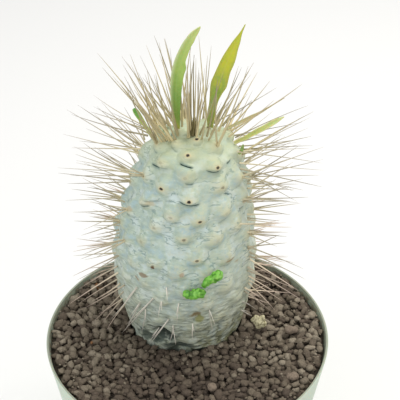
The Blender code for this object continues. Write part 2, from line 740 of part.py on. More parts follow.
def build_spines(meridian, tubercles, trunk_tree, leaf_trees):
    """Groups of spines from the crown downwards, each clear of all that stands there already."""
    material = make_material("spine_straw", SPINE_STRAW, 0.55)
    chance = random.Random(SPINE_SEED)
    standing = [trunk_tree] + leaf_trees
    number = 0
    for tubercle in tubercles:
        in_front = math.cos(tubercle.angle) > math.cos(BARE_ANGLE)
        if in_front and BARE_BOTTOM < tubercle.height < BARE_TOP:
            continue
        out, up = meridian.normal(tubercle.length)
        outward = radial(tubercle.angle) * out + Vector((0.0, 0.0, up))
        axis = (outward + spine_direction(tubercle)).normalized()
        spot = trunk_axis(tubercle.height) + radial(tubercle.angle) * tubercle.radius
        start = spot + axis * SEAT_APPROACH
        reach = seat_distance(trunk_tree, start, -axis, SPINE_FOOT_RADIUS)
        if reach is None:
            continue
        seat = start - axis * (reach - GAP)
        room = SPINE_FOOT_RADIUS + SPINE_CLEARANCE
        if not is_apart(standing[1:], seat + axis * SPINE_FOOT_DEPTH, room):
            continue
        tips = spine_tips(tubercle, seat, axis, standing, chance)
        if len(tips) >= FEWEST_SPINES:
            number += 1
            cluster = build_cluster(f"spine_cluster_{number:02d}", material, seat, axis, tips)
            standing.append(surface_of(cluster))
        if number == CLUSTER_COUNT:
            return


def main():
    clear_scene()
    meridian = Meridian()
    tubercles = place_tubercles(meridian)
    build_pot()
    soil = build_soil()
    trunk = build_trunk(meridian, tubercles)
    trunk_tree = surface_of(trunk)
    leaves = build_leaves(trunk_tree)
    build_sprouts(trunk_tree)
    build_loose_pieces(surface_of(soil))
    build_spines(meridian, tubercles, trunk_tree, [surface_of(leaf) for leaf in leaves])


main()
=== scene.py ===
"""Potted pachypodium: the looks of a spiny, barrel-trunked succulent in a pale green pot.

Metres, +Z up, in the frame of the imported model. Its origin is the middle of the pot's underside.
"""

import logging
import math
import random
from collections.abc import Sequence
from dataclasses import dataclass, field
from enum import Enum

import bmesh
import bpy
import numpy as np
from mathutils import Matrix, Vector, noise
from mathutils.bvhtree import BVHTree


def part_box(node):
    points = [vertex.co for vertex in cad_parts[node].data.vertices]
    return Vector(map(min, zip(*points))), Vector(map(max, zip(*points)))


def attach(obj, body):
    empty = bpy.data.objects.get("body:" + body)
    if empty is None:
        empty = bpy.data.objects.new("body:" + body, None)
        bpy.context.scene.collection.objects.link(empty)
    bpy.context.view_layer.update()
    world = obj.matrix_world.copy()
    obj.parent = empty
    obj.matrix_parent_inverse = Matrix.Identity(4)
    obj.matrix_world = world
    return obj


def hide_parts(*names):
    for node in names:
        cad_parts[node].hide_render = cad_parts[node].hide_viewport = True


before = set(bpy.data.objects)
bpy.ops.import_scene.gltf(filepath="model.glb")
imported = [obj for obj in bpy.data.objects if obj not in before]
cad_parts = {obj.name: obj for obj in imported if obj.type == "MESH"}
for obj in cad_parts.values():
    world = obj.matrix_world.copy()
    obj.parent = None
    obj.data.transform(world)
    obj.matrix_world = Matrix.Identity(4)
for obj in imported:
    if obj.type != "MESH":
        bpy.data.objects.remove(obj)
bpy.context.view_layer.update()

LOG = logging.getLogger("pachypodium")
MM = 0.001
BODY = "root"
UP = Vector((0.0, 0.0, 1.0))

POT_RIM_RADIUS = 70.0 * MM
POT_HEIGHT = 120.0 * MM
POT_TAPER = math.radians(9.0)
POT_WALL = 2.5 * MM
# Above the fill the wall is cut thinner on its inside.
RIM_WALL = 1.2 * MM
RIM_DEPTH = 9.0 * MM
SOIL_TOP = POT_HEIGHT - 4.2 * MM

TRUNK_X = -1.4 * MM
TRUNK_Y = 19.7 * MM
TRUNK_LEAN = 3.4 * MM
LEAN_START = 50.0 * MM
LEAN_LENGTH = 45.0 * MM
TRUNK_HEIGHT = 110.0 * MM
SHOULDER_HEIGHT = 99.0 * MM
# Height above the soil and radius over the tubercles, in millimetres.
BARREL_OUTLINE = ((0, 29.2), (9, 31.4), (22, 35.0), (38, 35.9), (54, 35.2), (71, 32.2), (87, 28.4), (99, 23.6))
ROOT_DEPTH = 46.0 * MM

# Tubercles follow a golden spiral and fill in round those that the front shows.
GOLDEN_ANGLE = math.radians(-137.508)
SPIRAL_START = math.radians(33.0)
CELL_AREA = 168.0 * MM * MM
CROWN_CELL = 0.42
CROWN_LENGTH = 25.0 * MM
FIRST_TUBERCLE = 4.5 * MM
LAST_TUBERCLE = 5.0 * MM
SMALLEST_TURN = 6.0 * MM
PACKING = 1.03
SEEN_REACH = 0.6
# Where the cosine of the angle is over this, the front shows every mark.
FRONT_SHARE = 0.4
SPREAD_ROUNDS = 24
SPREAD_SHARE = 0.25
TUBERCLE_LIFT = 3.0 * MM
TUBERCLE_UPPER = 11.0 * MM
TUBERCLE_LOWER = 5.4 * MM
TUBERCLE_HALF_WIDTH = 7.8 * MM
SMOOTH_FOOT = 14.0 * MM
# Tubercles on the front: angle from the front towards +X in degrees, height above the soil in
# millimetres, and how dark the leaf scar is.
SEEN_TUBERCLES = (
    (22, 109.4, 1.0), (-4, 106.4, 1.0), (52, 107.2, 0.6), (-69, 106.6, 0.8), (32, 101.2, 0.9), (-93, 96.3, 0.6),
    (-57, 93.5, 0.9), (-30, 92.0, 1.0), (34, 92.0, 0.5), (64, 91.3, 0.3), (-1, 88.4, 1.0), (64, 80.5, 0.2),
    (-16, 80.5, 0.3), (10, 78.6, 0.9), (-64, 74.4, 0.2), (-29, 73.7, 0.3), (-2, 70.5, 0.6), (-70, 65.8, 0.2),
    (-38, 65.0, 0.25), (10, 59.3, 0.7), (37, 56.0, 0.2), (-24, 55.1, 0.3), (64, 49.0, 0.2))
# Creases on the front: angle in degrees and height in millimetres of both ends, how far the
# middle hangs below them in millimetres, and how dark they are.
SEEN_FURROWS = (
    ((-16.7, 104.7), (5.0, 102.6), 0.4, 1.0), ((-56.0, 99.3), (-39.5, 99.6), 0.5, 0.85),
    ((18.0, 100.4), (41.0, 98.8), 1.2, 0.8), ((-12.0, 87.6), (11.0, 86.0), 1.1, 1.0),
    ((-48.5, 83.4), (-27.9, 86.1), 0.4, 0.3), ((-27.9, 86.1), (-14.0, 87.8), 0.5, 0.2),
    ((-7.0, 95.8), (4.0, 95.4), 0.3, 0.5), ((53.0, 99.4), (64.0, 99.9), 0.3, 0.75),
    ((-54.0, 80.2), (-38.0, 82.6), 0.6, 0.75), ((38.5, 88.5), (46.0, 86.3), 0.3, 0.5))


class Slot(Enum):
    """The record's material slots."""

    POT = "pot_plastic"
    GRIT = "soil_grit"
    BARK = "trunk_bark"
    SPINE = "spine"
    GREEN = "leaf_green"
    YELLOW = "leaf_yellow"
    KHAKI = "leaf_khaki"
    SPROUT = "sprout"
    HUSK = "husk"
    STONE = "stone_brown"


class Kind(Enum):
    """Shader nodes by what they do: type, settings, inputs in order, and the output that is read."""

    PLACE = ("TexCoord", {}, (), "Object")
    ATTRIBUTE = ("Attribute", {}, (), "Fac")
    UV_MAP = ("UVMap", {}, (), "UV")
    LEVEL_X = ("SeparateXYZ", {}, (0,), "X")
    LEVEL_Y = ("SeparateXYZ", {}, (0,), "Y")
    HEIGHT = ("SeparateXYZ", {}, (0,), "Z")
    CLOUD = ("TexNoise", {}, ("Vector", "Scale", "Detail", "Roughness"), "Fac")
    SCATTER = ("TexNoise", {}, ("Vector", "Scale", "Detail"), "Color")
    EASE = ("MapRange", {"interpolation_type": "SMOOTHSTEP"}, (0, 1, 2, 3, 4), 0)
    ADD = ("Math", {"operation": "ADD"}, (0, 1), 0)
    SUBTRACT = ("Math", {"operation": "SUBTRACT"}, (0, 1), 0)
    TIMES = ("Math", {"operation": "MULTIPLY"}, (0, 1), 0)
    TIMES_ADD = ("Math", {"operation": "MULTIPLY_ADD"}, (0, 1, 2), 0)
    SIZE = ("Math", {"operation": "ABSOLUTE"}, (0,), 0)
    WAVE = ("Math", {"operation": "SINE"}, (0,), 0)
    STRETCH = ("VectorMath", {"operation": "MULTIPLY"}, (0, 1), 0)
    STRETCH_MOVE = ("VectorMath", {"operation": "MULTIPLY_ADD"}, (0, 1, 2), 0)
    MOVE = ("VectorMath", {"operation": "ADD"}, (0, 1), 0)
    LENGTH = ("VectorMath", {"operation": "LENGTH"}, (0,), "Value")
    RAMP = ("ValToRGB", {}, (0,), "Color")
    TINT = ("Mix", {"data_type": "RGBA"}, (0, 6, 7), 2)
    BRIGHTEN = ("HueSaturation", {}, ("Color", "Value"), "Color")
    BUMP = ("Bump", {}, ("Height", "Strength", "Distance"), "Normal")


Input = bpy.types.NodeSocket | float | str | tuple[float, ...]


def linear(code: str) -> tuple[float, float, float, float]:
    """Turn an sRGB hex colour to linear.

    Args:
        code: The colour as #RRGGBB.

    Returns:
        Linear red, green and blue, and an alpha of 1.
    """
    shares = (int(code[start:start + 2], 16) / 255 for start in (1, 3, 5))
    return (*(share / 12.92 if share <= 0.04045 else ((share + 0.055) / 1.055) ** 2.4 for share in shares), 1.0)


def add_node(tree: bpy.types.NodeTree, kind: Kind, *inputs: Input, stops: Sequence[tuple[float, str]] = (),
             **settings: str) -> bpy.types.NodeSocket:
    """Add one shader node with its settings and links.

    Args:
        tree: The material's node tree.
        kind: What the node does.
        inputs: Values, hex colours, or outputs to link, in the kind's order.
        stops: Places and hex colours of a colour ramp, in order.
        settings: More properties of the node.

    Returns:
        The output that is read.
    """
    name, fixed, sockets, output = kind.value
    node = tree.nodes.new("ShaderNode" + name)
    for setting, value in (fixed | settings).items():
        setattr(node, setting, value)
    for socket, value in zip(sockets, inputs):
        if isinstance(value, bpy.types.NodeSocket):
            tree.links.new(value, node.inputs[socket])
        else:
            node.inputs[socket].default_value = linear(value) if isinstance(value, str) else value
    if stops:
        ramp = node.color_ramp.elements
        ramp[0].position, ramp[1].position = stops[0][0], stops[-1][0]
        for position, _ in stops[1:-1]:
            ramp.new(position)
        for stop, (_, code) in zip(ramp, stops):
            stop.color = linear(code)
    return node.outputs[output]


def per(size: float) -> float:
    """Scale of a texture whose features have this size in metres."""
    return 1.0 / size


def new_material(name: str, roughness: float, **sockets: float) -> bpy.types.Material:
    """Start a material with one Principled shader.

    Args:
        name: The real material and how its surface came about.
        roughness: Its roughness.
        sockets: Other constant inputs, with underscores for spaces.

    Returns:
        The material.
    """
    material = bpy.data.materials.new(name)
    material.use_nodes = True
    shader = material.node_tree.nodes["Principled BSDF"]
    shader.inputs["Roughness"].default_value = roughness
    for socket, value in sockets.items():
        shader.inputs[socket.replace("_", " ")].default_value = value
    return material


def dress(material: bpy.types.Material, colour: bpy.types.NodeSocket, relief: bpy.types.NodeSocket | None = None,
          strength: float = 0.0, depth: float = 0.0) -> bpy.types.Material:
    """Lay a colour and a fine relief on a material's shader.

    Args:
        material: The material.
        colour: Its base colour.
        relief: Height of the relief.
        strength: Strength of the relief.
        depth: Its depth in metres.

    Returns:
        The finished material.
    """
    tree = material.node_tree
    shader = tree.nodes["Principled BSDF"]
    tree.links.new(colour, shader.inputs["Base Color"])
    if relief:
        tree.links.new(add_node(tree, Kind.BUMP, relief, strength, depth), shader.inputs["Normal"])
    return material


def smooth_step(value: float) -> float:
    """Smooth rise from 0 to 1 as the value goes from 0 to 1."""
    t = min(max(value, 0.0), 1.0)
    return t * t * (3.0 - 2.0 * t)


def smooth_steps(values: np.ndarray) -> np.ndarray:
    """The same smooth rise for many values at once."""
    t = np.clip(values, 0.0, 1.0)
    return t * t * (3.0 - 2.0 * t)


def curve_value(points: Sequence[tuple[float, ...]], position: float, column: int = 1) -> float:
    """Read a smooth curve through points, flat beyond both ends.

    Args:
        points: Rows that start with the position.
        position: Where to read.
        column: Which value of each row to read.

    Returns:
        The value there.
    """
    if position <= points[0][0]:
        return points[0][column]
    for index in range(len(points) - 1):
        start, end = points[index], points[index + 1]
        if position <= end[0]:
            before = points[max(index - 1, 0)]
            after = points[min(index + 2, len(points) - 1)]
            span = end[0] - start[0]
            t = (position - start[0]) / span
            slope_in = (end[column] - before[column]) / (end[0] - before[0]) * span
            slope_out = (after[column] - start[column]) / (after[0] - start[0]) * span
            return ((2 * t**3 - 3 * t**2 + 1) * start[column] + (t**3 - 2 * t**2 + t) * slope_in
                    + (3 * t**2 - 2 * t**3) * end[column] + (t**3 - t**2) * slope_out)
    return points[-1][column]


def radial(angle: float) -> Vector:
    """Level unit vector at an angle from the front, towards +X."""
    return Vector((math.sin(angle), -math.cos(angle), 0.0))


def wall_radius(height: float, inset: float = 0.0) -> float:
    """Radius of the pot's outer wall at a height, less an inset."""
    return POT_RIM_RADIUS - (POT_HEIGHT - height) * math.tan(POT_TAPER) - inset


def barrel_radius(height: float) -> float:
    """Radius over the tubercles at a height above the soil."""
    if height > SHOULDER_HEIGHT:
        rise = (height - SHOULDER_HEIGHT) / (TRUNK_HEIGHT - SHOULDER_HEIGHT)
        return BARREL_OUTLINE[-1][1] * MM * math.sqrt(max(0.0, 1.0 - rise * rise))
    return curve_value(BARREL_OUTLINE, height / MM) * MM


def trunk_axis(height: float) -> Vector:
    """Middle of the trunk at a height above the soil."""
    lean = TRUNK_LEAN * smooth_step((height - LEAN_START) / LEAN_LENGTH)
    return Vector((TRUNK_X + lean, TRUNK_Y, SOIL_TOP + height))


def bark_point(angle: float, height: float, out: float = 0.0) -> Vector:
    """Point on the barrel at an angle and height, or that far out from it."""
    return trunk_axis(height) + radial(angle) * (barrel_radius(height) + out)


def spin_outline(bm: bmesh.types.BMesh, outline: Sequence[tuple[float, float]], steps: int,
                 tags: Sequence[float] = ()) -> None:
    """Turn an outline about the Z axis.

    Args:
        bm: An empty bmesh.
        outline: Radius and height of each point.
        steps: How many steps the full turn has.
        tags: A number for each point, which follows it round as the attribute tag.
    """
    layer = bm.verts.layers.float.new("tag")
    verts = []
    for index, (radius, height) in enumerate(outline):
        vert = bm.verts.new((radius, 0.0, height))
        vert[layer] = tags[index] if tags else 0.0
        verts.append(vert)
    edges = [bm.edges.new(pair) for pair in zip(verts, verts[1:])]
    bmesh.ops.spin(bm, geom=verts + edges, axis=(0.0, 0.0, 1.0), cent=(0.0, 0.0, 0.0), angle=math.tau,
                   steps=steps, use_merge=True)
    bmesh.ops.remove_doubles(bm, verts=bm.verts, dist=1e-6)
    bmesh.ops.recalc_face_normals(bm, faces=bm.faces)


def corner_arc(centre: tuple[float, float], radius: float, start: float, end: float,
               steps: int) -> list[tuple[float, float]]:
    """Points of a rounded corner in an outline's plane.

    Args:
        centre: Radius and height of the arc's centre.
        radius: Its radius.
        start: First angle in degrees.
        end: Last angle in degrees.
        steps: Number of steps between them.

    Returns:
        Radius and height of each point.
    """
    angles = (math.radians(start + (end - start) * step / steps) for step in range(steps + 1))
    return [(centre[0] + radius * math.cos(angle), centre[1] + radius * math.sin(angle)) for angle in angles]


def set_attribute(mesh: bpy.types.Mesh, name: str, values: np.ndarray, domain: str = "POINT") -> None:
    """Store one number for each point or face of a mesh."""
    mesh.attributes.new(name, "FLOAT", domain).data.foreach_set("value", np.asarray(values, np.float32))


def points_of(mesh: bpy.types.Mesh) -> np.ndarray:
    """The places of a mesh's points, one row each."""
    places = np.empty(len(mesh.vertices) * 3)
    mesh.vertices.foreach_get("co", places)
    return places.reshape(-1, 3)


def mesh_from(bm: bmesh.types.BMesh, name: str) -> bpy.types.Mesh:
    """Write a bmesh to a new mesh and free it."""
    mesh = bpy.data.meshes.new(name)
    bm.to_mesh(mesh)
    bm.free()
    return mesh


def add_piece(mesh: bpy.types.Mesh, material: bpy.types.Material, replaced: Sequence[str] = (),
              sharp_angle: float = 60.0) -> bpy.types.Object:
    """Make a finished mesh a piece that rides with the pot.

    Args:
        mesh: The mesh, with its place in its points and the piece's name.
        material: Its finish.
        replaced: Names of the solids that it stands for.
        sharp_angle: Edges over this angle in degrees stay sharp.

    Returns:
        The new object.
    """
    mesh.materials.clear()
    mesh.materials.append(material)
    mesh.shade_smooth()
    mesh.set_sharp_from_angle(angle=math.radians(sharp_angle))
    piece = bpy.data.objects.new(mesh.name, mesh)
    bpy.context.scene.collection.objects.link(piece)
    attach(piece, BODY)
    if replaced:
        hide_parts(*replaced)
    LOG.info("%s: %d faces", piece.name, len(mesh.polygons))
    return piece


def solid_copy(node: str) -> bmesh.types.BMesh:
    """Merged copy of a solid of the frame."""
    bm = bmesh.new()
    bm.from_mesh(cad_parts[node].data)
    bmesh.ops.remove_doubles(bm, verts=bm.verts, dist=1e-6)
    return bm


def solid_tree(node: str) -> BVHTree:
    """Search tree of a solid's surface."""
    bm = solid_copy(node)
    tree = BVHTree.FromBMesh(bm)
    bm.free()
    return tree


def stamp(bm: bmesh.types.BMesh, template: bpy.types.Mesh) -> list[bmesh.types.BMVert]:
    """Add a copy of a small mesh to a bmesh and return its new points."""
    bm.from_mesh(template)
    bm.verts.ensure_lookup_table()
    return bm.verts[-len(template.vertices):]


@dataclass(frozen=True)
class BarkFinish:
    """Living pachypodium bark: a thin wax bloom, so pale and soft, blue-white in the hollows and
    cream where it is worn off, creamier towards the right side as painted light, with dark leaf scars,
    dark green creases and fine wrinkles in painted shade, and painted shade in the foot's wrinkles and dents."""

    bloom: str = "#A2B9BA"
    sage: str = "#AFBEA9"
    pale: str = "#C3D0C8"
    wax: str = "#C2D3D4"
    bright: str = "#D9E3DA"
    cream: str = "#C9C6A4"
    shade: str = "#82968A"
    crown_green: str = "#B3BA8E"
    warm_tip: str = "#C6C19C"
    crease: str = "#22413F"
    hollow_shade: str = "#6F8A84"
    scar_dot: str = "#1B150E"
    scar_ring: str = "#C9B98E"
    foot_pale: str = "#CDCDB4"
    foot_wrinkle_shade: str = "#37423A"
    foot_olive: str = "#8E8C5C"
    roughness: float = 0.55
    patch_size: float = 6.5 * MM
    mottle_size: float = 2.2 * MM
    streak_size: float = 1.5 * MM
    line_size: float = 5.0 * MM
    stain_size: float = 4.5 * MM
    skin_size: float = 0.9 * MM
    map_span: float = 40.0 * MM
    dot_radius: float = 0.62 * MM
    ring_radius: float = 1.25 * MM
    ring_width: float = 0.5 * MM

    def material(self) -> bpy.types.Material:
        """Mottled wax bloom with painted light on its right side, then the tubercles' marks and creases in painted
        shade, then the stained foot with painted shade in its wrinkles and dents.
        """
        material = new_material("living_bark_with_wax_bloom", self.roughness, IOR=1.42)
        tree = material.node_tree
        place = add_node(tree, Kind.PLACE)
        height = add_node(tree, Kind.HEIGHT, place)
        colour, lines = self.bloom_colour(tree, place, height)
        colour, marks = self.drawn_marks(tree, place, colour)
        colour = self.foot_colour(tree, place, height, colour)
        skin = add_node(tree, Kind.CLOUD, place, per(self.skin_size), 4.0, 0.62)
        deep = add_node(tree, Kind.ADD, marks, lines)
        return dress(material, colour, add_node(tree, Kind.SUBTRACT, skin, deep), 0.4, 0.4 * MM)

    def bloom_colour(self, tree: bpy.types.NodeTree, place: bpy.types.NodeSocket,
                     height: bpy.types.NodeSocket) -> tuple[bpy.types.NodeSocket, bpy.types.NodeSocket]:
        """Colour of the bare skin.

        Args:
            tree: The material's nodes.
            place: Object coordinates.
            height: Their Z part.

        Returns:
            The colour, and where the fine wrinkles with painted shade run.
        """
        patches = add_node(tree, Kind.CLOUD, place, per(self.patch_size), 3.0)
        colour = add_node(tree, Kind.RAMP, patches, stops=((0.36, self.bloom), (0.5, self.sage), (0.62, self.pale)))
        drawn = add_node(tree, Kind.STRETCH, place, (0.35, 0.35, 1.0))
        streaks = add_node(tree, Kind.CLOUD, drawn, per(self.streak_size), 5.0, 0.62)
        rough = add_node(tree, Kind.EASE, height, SOIL_TOP + 15 * MM, SOIL_TOP + 90 * MM, 1.0, 0.5)
        for start, end, code, most in ((0.5, 0.36, self.shade, 0.6), (0.54, 0.7, self.bright, 0.85)):
            share = add_node(tree, Kind.TIMES, add_node(tree, Kind.EASE, streaks, start, end, 0.0, most), rough)
            colour = add_node(tree, Kind.TINT, share, colour, code)
        # Wax stays in the hollows between the tubercles, and is rubbed off their tops.
        lift = add_node(tree, Kind.ATTRIBUTE, attribute_name="lift")
        kept = add_node(tree, Kind.TIMES, add_node(tree, Kind.EASE, lift, 0.6, 0.0, 0.05, 0.45),
                        add_node(tree, Kind.EASE, patches, 0.4, 0.6, 0.1, 1.0))
        colour = add_node(tree, Kind.TINT, kept, colour, self.wax)
        mottle = add_node(tree, Kind.CLOUD, place, per(self.mottle_size), 4.0, 0.62)
        # Painted light: the cream share grows towards +X, the lit right side, on top of the wax worn off the tubercle
        # tops.
        side = add_node(tree, Kind.EASE, add_node(tree, Kind.LEVEL_X, place), -30 * MM, 34 * MM, -0.08, 0.16)
        rubbed_and_side_lit = add_node(tree, Kind.EASE, add_node(tree, Kind.ADD, mottle, side), 0.46, 0.68, 0.05, 0.75)
        rubbed_and_side_lit = add_node(tree, Kind.TIMES, rubbed_and_side_lit, add_node(tree, Kind.EASE, lift, 0.0, 1.0, 0.4, 0.75))
        colour = add_node(tree, Kind.TINT, rubbed_and_side_lit, colour, self.cream)
        # Painted shade: thin dark lines where the fine wrinkles are cut into the relief.
        ridges = add_node(tree, Kind.CLOUD, drawn, per(self.line_size), 3.0, 0.6)
        off_line = add_node(tree, Kind.SIZE, add_node(tree, Kind.ADD, ridges, -0.5))
        lines = add_node(tree, Kind.TIMES, add_node(tree, Kind.EASE, off_line, 0.004, 0.022, 0.7, 0.0),
                         add_node(tree, Kind.EASE, patches, 0.42, 0.56, 0.0, 1.0))
        colour = add_node(tree, Kind.TINT, lines, colour, self.hollow_shade)
        green = add_node(tree, Kind.EASE, height, SOIL_TOP + 88 * MM, SOIL_TOP + 110 * MM, 0.0, 0.6)
        return add_node(tree, Kind.TINT, green, colour, self.crown_green), lines

    def drawn_marks(self, tree: bpy.types.NodeTree, place: bpy.types.NodeSocket,
                    colour: bpy.types.NodeSocket) -> tuple[bpy.types.NodeSocket, bpy.types.NodeSocket]:
        """Draw the warm tips and leaf scars of the tubercles, and the creases in painted shade.

        Args:
            tree: The material's nodes.
            place: Object coordinates.
            colour: Colour of the bare skin.

        Returns:
            The new colour, and how deep the marks are.
        """
        wobble = add_node(tree, Kind.SCATTER, place, per(1.6 * MM), 2.0)
        shift = add_node(tree, Kind.MOVE, wobble, (-0.5, -0.5, -0.5))
        scar, tip, crease = (add_node(tree, Kind.ATTRIBUTE, attribute_name=name)
                             for name in ("scar", "warm_tip", "crease"))
        # The map's middle is the tubercle's tip; a scar is wider than tall.
        local = self.local_map(tree, "tubercle_map", shift, 0.9 * MM)
        reach = add_node(tree, Kind.LENGTH, add_node(tree, Kind.STRETCH, local, (0.8, 1.15, 0.0)))
        for start, end, most, owner, code in (
                (0.8 * MM, 4.4 * MM, 0.6, tip, self.warm_tip),
                (self.dot_radius, self.ring_radius + self.ring_width, 0.75, scar, self.scar_ring),
                (self.dot_radius * 0.75, self.dot_radius * 1.5, 1.0, scar, self.scar_dot)):
            dot = add_node(tree, Kind.TIMES, add_node(tree, Kind.EASE, reach, start, end, most, 0.0), owner)
            colour = add_node(tree, Kind.TINT, dot, colour, code)
        # Along a crease the map runs from -1 to 1; across it, it is in units of map_span.
        local = self.local_map(tree, "crease_map", shift, 0.35 * MM)
        ends, off_line = (add_node(tree, Kind.SIZE, add_node(tree, part, local))
                          for part in (Kind.LEVEL_X, Kind.LEVEL_Y))
        ends = add_node(tree, Kind.EASE, ends, 0.55 * self.map_span, self.map_span, 1.0, 0.0)
        ends = add_node(tree, Kind.TIMES, ends, crease)
        # Painted shade: a wide stripe of shade colour along each crease, then a near-black painted shadow in its cut.
        for start, end, most, code in ((0.2 * MM, 1.8 * MM, 0.55, self.hollow_shade), (0.14 * MM, 0.46 * MM, 1.0, self.crease)):
            cut = add_node(tree, Kind.TIMES, add_node(tree, Kind.EASE, off_line, start, end, most, 0.0), ends)
            colour = add_node(tree, Kind.TINT, cut, colour, code)
        return colour, add_node(tree, Kind.ADD, cut, dot)

    def local_map(self, tree: bpy.types.NodeTree, name: str, shift: bpy.types.NodeSocket,
                  amount: float) -> bpy.types.NodeSocket:
        """Read a map of the bark in metres from its middle, with an uneven shift.

        Args:
            tree: The material's nodes.
            name: The UV map.
            shift: Noise round zero.
            amount: How far the noise shifts it.

        Returns:
            The local place.
        """
        span, half = self.map_span, self.map_span / 2
        local = add_node(tree, Kind.STRETCH_MOVE, add_node(tree, Kind.UV_MAP, uv_map=name), (span, span, 0.0),
                         (-half, -half, 0.0))
        return add_node(tree, Kind.STRETCH_MOVE, shift, (amount, amount, 0.0), local)

    def foot_colour(self, tree: bpy.types.NodeTree, place: bpy.types.NodeSocket, height: bpy.types.NodeSocket,
                    colour: bpy.types.NodeSocket) -> bpy.types.NodeSocket:
        """Paler old skin, its stains near the soil, painted shade in the wrinkle floors and the dents at the left, and
        old brown marks.

        Args:
            tree: The material's nodes.
            place: Object coordinates.
            height: Their Z part.
            colour: Colour so far.

        Returns:
            The new colour.
        """
        old = add_node(tree, Kind.EASE, height, SOIL_TOP + 14 * MM, SOIL_TOP + 62 * MM, 0.42, 0.0)
        colour = add_node(tree, Kind.TINT, old, colour, self.foot_pale)
        cloud = add_node(tree, Kind.CLOUD, place, per(self.stain_size), 4.0, 0.62)
        low = add_node(tree, Kind.EASE, height, SOIL_TOP, SOIL_TOP + 34 * MM, 0.8, 0.0)
        right = add_node(tree, Kind.EASE, add_node(tree, Kind.LEVEL_X, place), -22 * MM, 24 * MM, 0.25, 1.0)
        stain = add_node(tree, Kind.TIMES, add_node(tree, Kind.EASE, cloud, 0.42, 0.6, 0.0, 1.0),
                         add_node(tree, Kind.TIMES, low, right))
        colour = add_node(tree, Kind.TINT, stain, colour, self.foot_olive)
        # Painted shade in the floors of the foot's wrinkles.
        fold = add_node(tree, Kind.ATTRIBUTE, attribute_name="fold")
        colour = add_node(tree, Kind.TINT, fold, colour, self.foot_wrinkle_shade)
        for angle, rise, across, tall, code, most in FOOT_MARKS:
            middle = bark_point(math.radians(angle), rise * MM)
            offset = add_node(tree, Kind.MOVE, place, tuple(-middle))
            squeezed = add_node(tree, Kind.STRETCH, offset, (per(across * MM), per(across * MM), per(tall * MM)))
            rough = add_node(tree, Kind.TIMES_ADD, cloud, 1.6, add_node(tree, Kind.LENGTH, squeezed))
            colour = add_node(tree, Kind.TINT, add_node(tree, Kind.EASE, rough, 1.45, 2.0, most, 0.0), colour, code)
        return colour


# Marks on the lower trunk: angle in degrees, height, half width and half height in millimetres, colour and strength.
# The first four, dark green-black over the dents at the left of the foot, are painted shade; the rest are stains and
# old marks.
FOOT_MARKS = (
    (-19.0, 10.5, 6.4, 4.2, "#28332C", 0.97), (-27.0, 6.0, 5.0, 3.0, "#3A463C", 0.8),
    (-5.0, 2.5, 9.0, 2.2, "#2E3831", 0.8), (-38.0, 4.0, 6.0, 4.4, "#39463D", 0.8),
    (9.5, 27.0, 3.2, 2.2, "#77643C", 0.9), (12.5, 24.0, 3.2, 2.4, "#83834A", 0.9),
    (-24.5, 54.0, 1.3, 1.7, "#5E4226", 0.95), (-24.4, 49.0, 0.5, 4.2, "#857450", 0.7),
    (-1.1, 52.2, 1.5, 1.3, "#A0724A", 0.5), (-33.0, 47.5, 3.4, 0.9, "#7A6040", 0.75),
    (-40.0, 44.0, 2.4, 1.0, "#8A6C46", 0.7), (40.0, 54.5, 3.4, 0.7, "#94764C", 0.7),
    (48.0, 50.5, 2.6, 0.8, "#A08458", 0.6), (8.0, 33.8, 0.8, 0.7, "#6B4A2A", 0.8),
    (-61.0, 75.7, 1.8, 1.2, "#B59A6E", 0.5), (49.0, 63.0, 1.8, 1.2, "#A98F62", 0.6),
    (-13.2, 50.9, 1.6, 1.0, "#7C8278", 0.6), (-38.0, 83.2, 3.4, 1.4, "#C2AE8A", 0.5))


@dataclass(frozen=True)
class SpineFinish:
    """Dry pachypodium spine: hard smooth wood, straw to khaki, greyer to its point."""

    name: str
    foot: str
    middle: str
    tip: str
    roughness: float = 0.5
    streak_size: float = 1.4 * MM

    def material(self) -> bpy.types.Material:
        """Colour along each spine, varied from spine to spine."""
        material = new_material(self.name, self.roughness, IOR=1.5)
        tree = material.node_tree
        along, tone = (add_node(tree, Kind.ATTRIBUTE, attribute_name=name) for name in ("spine_along", "spine_tone"))
        colour = add_node(tree, Kind.RAMP, along, stops=((0.0, self.foot), (0.4, self.middle), (1.0, self.tip)))
        streaks = add_node(tree, Kind.CLOUD, add_node(tree, Kind.PLACE), per(self.streak_size), 3.0)
        value = add_node(tree, Kind.EASE, add_node(tree, Kind.TIMES_ADD, streaks, 0.3, tone), 0.0, 1.3, 0.7, 1.25)
        return dress(material, add_node(tree, Kind.BRIGHTEN, colour, value))


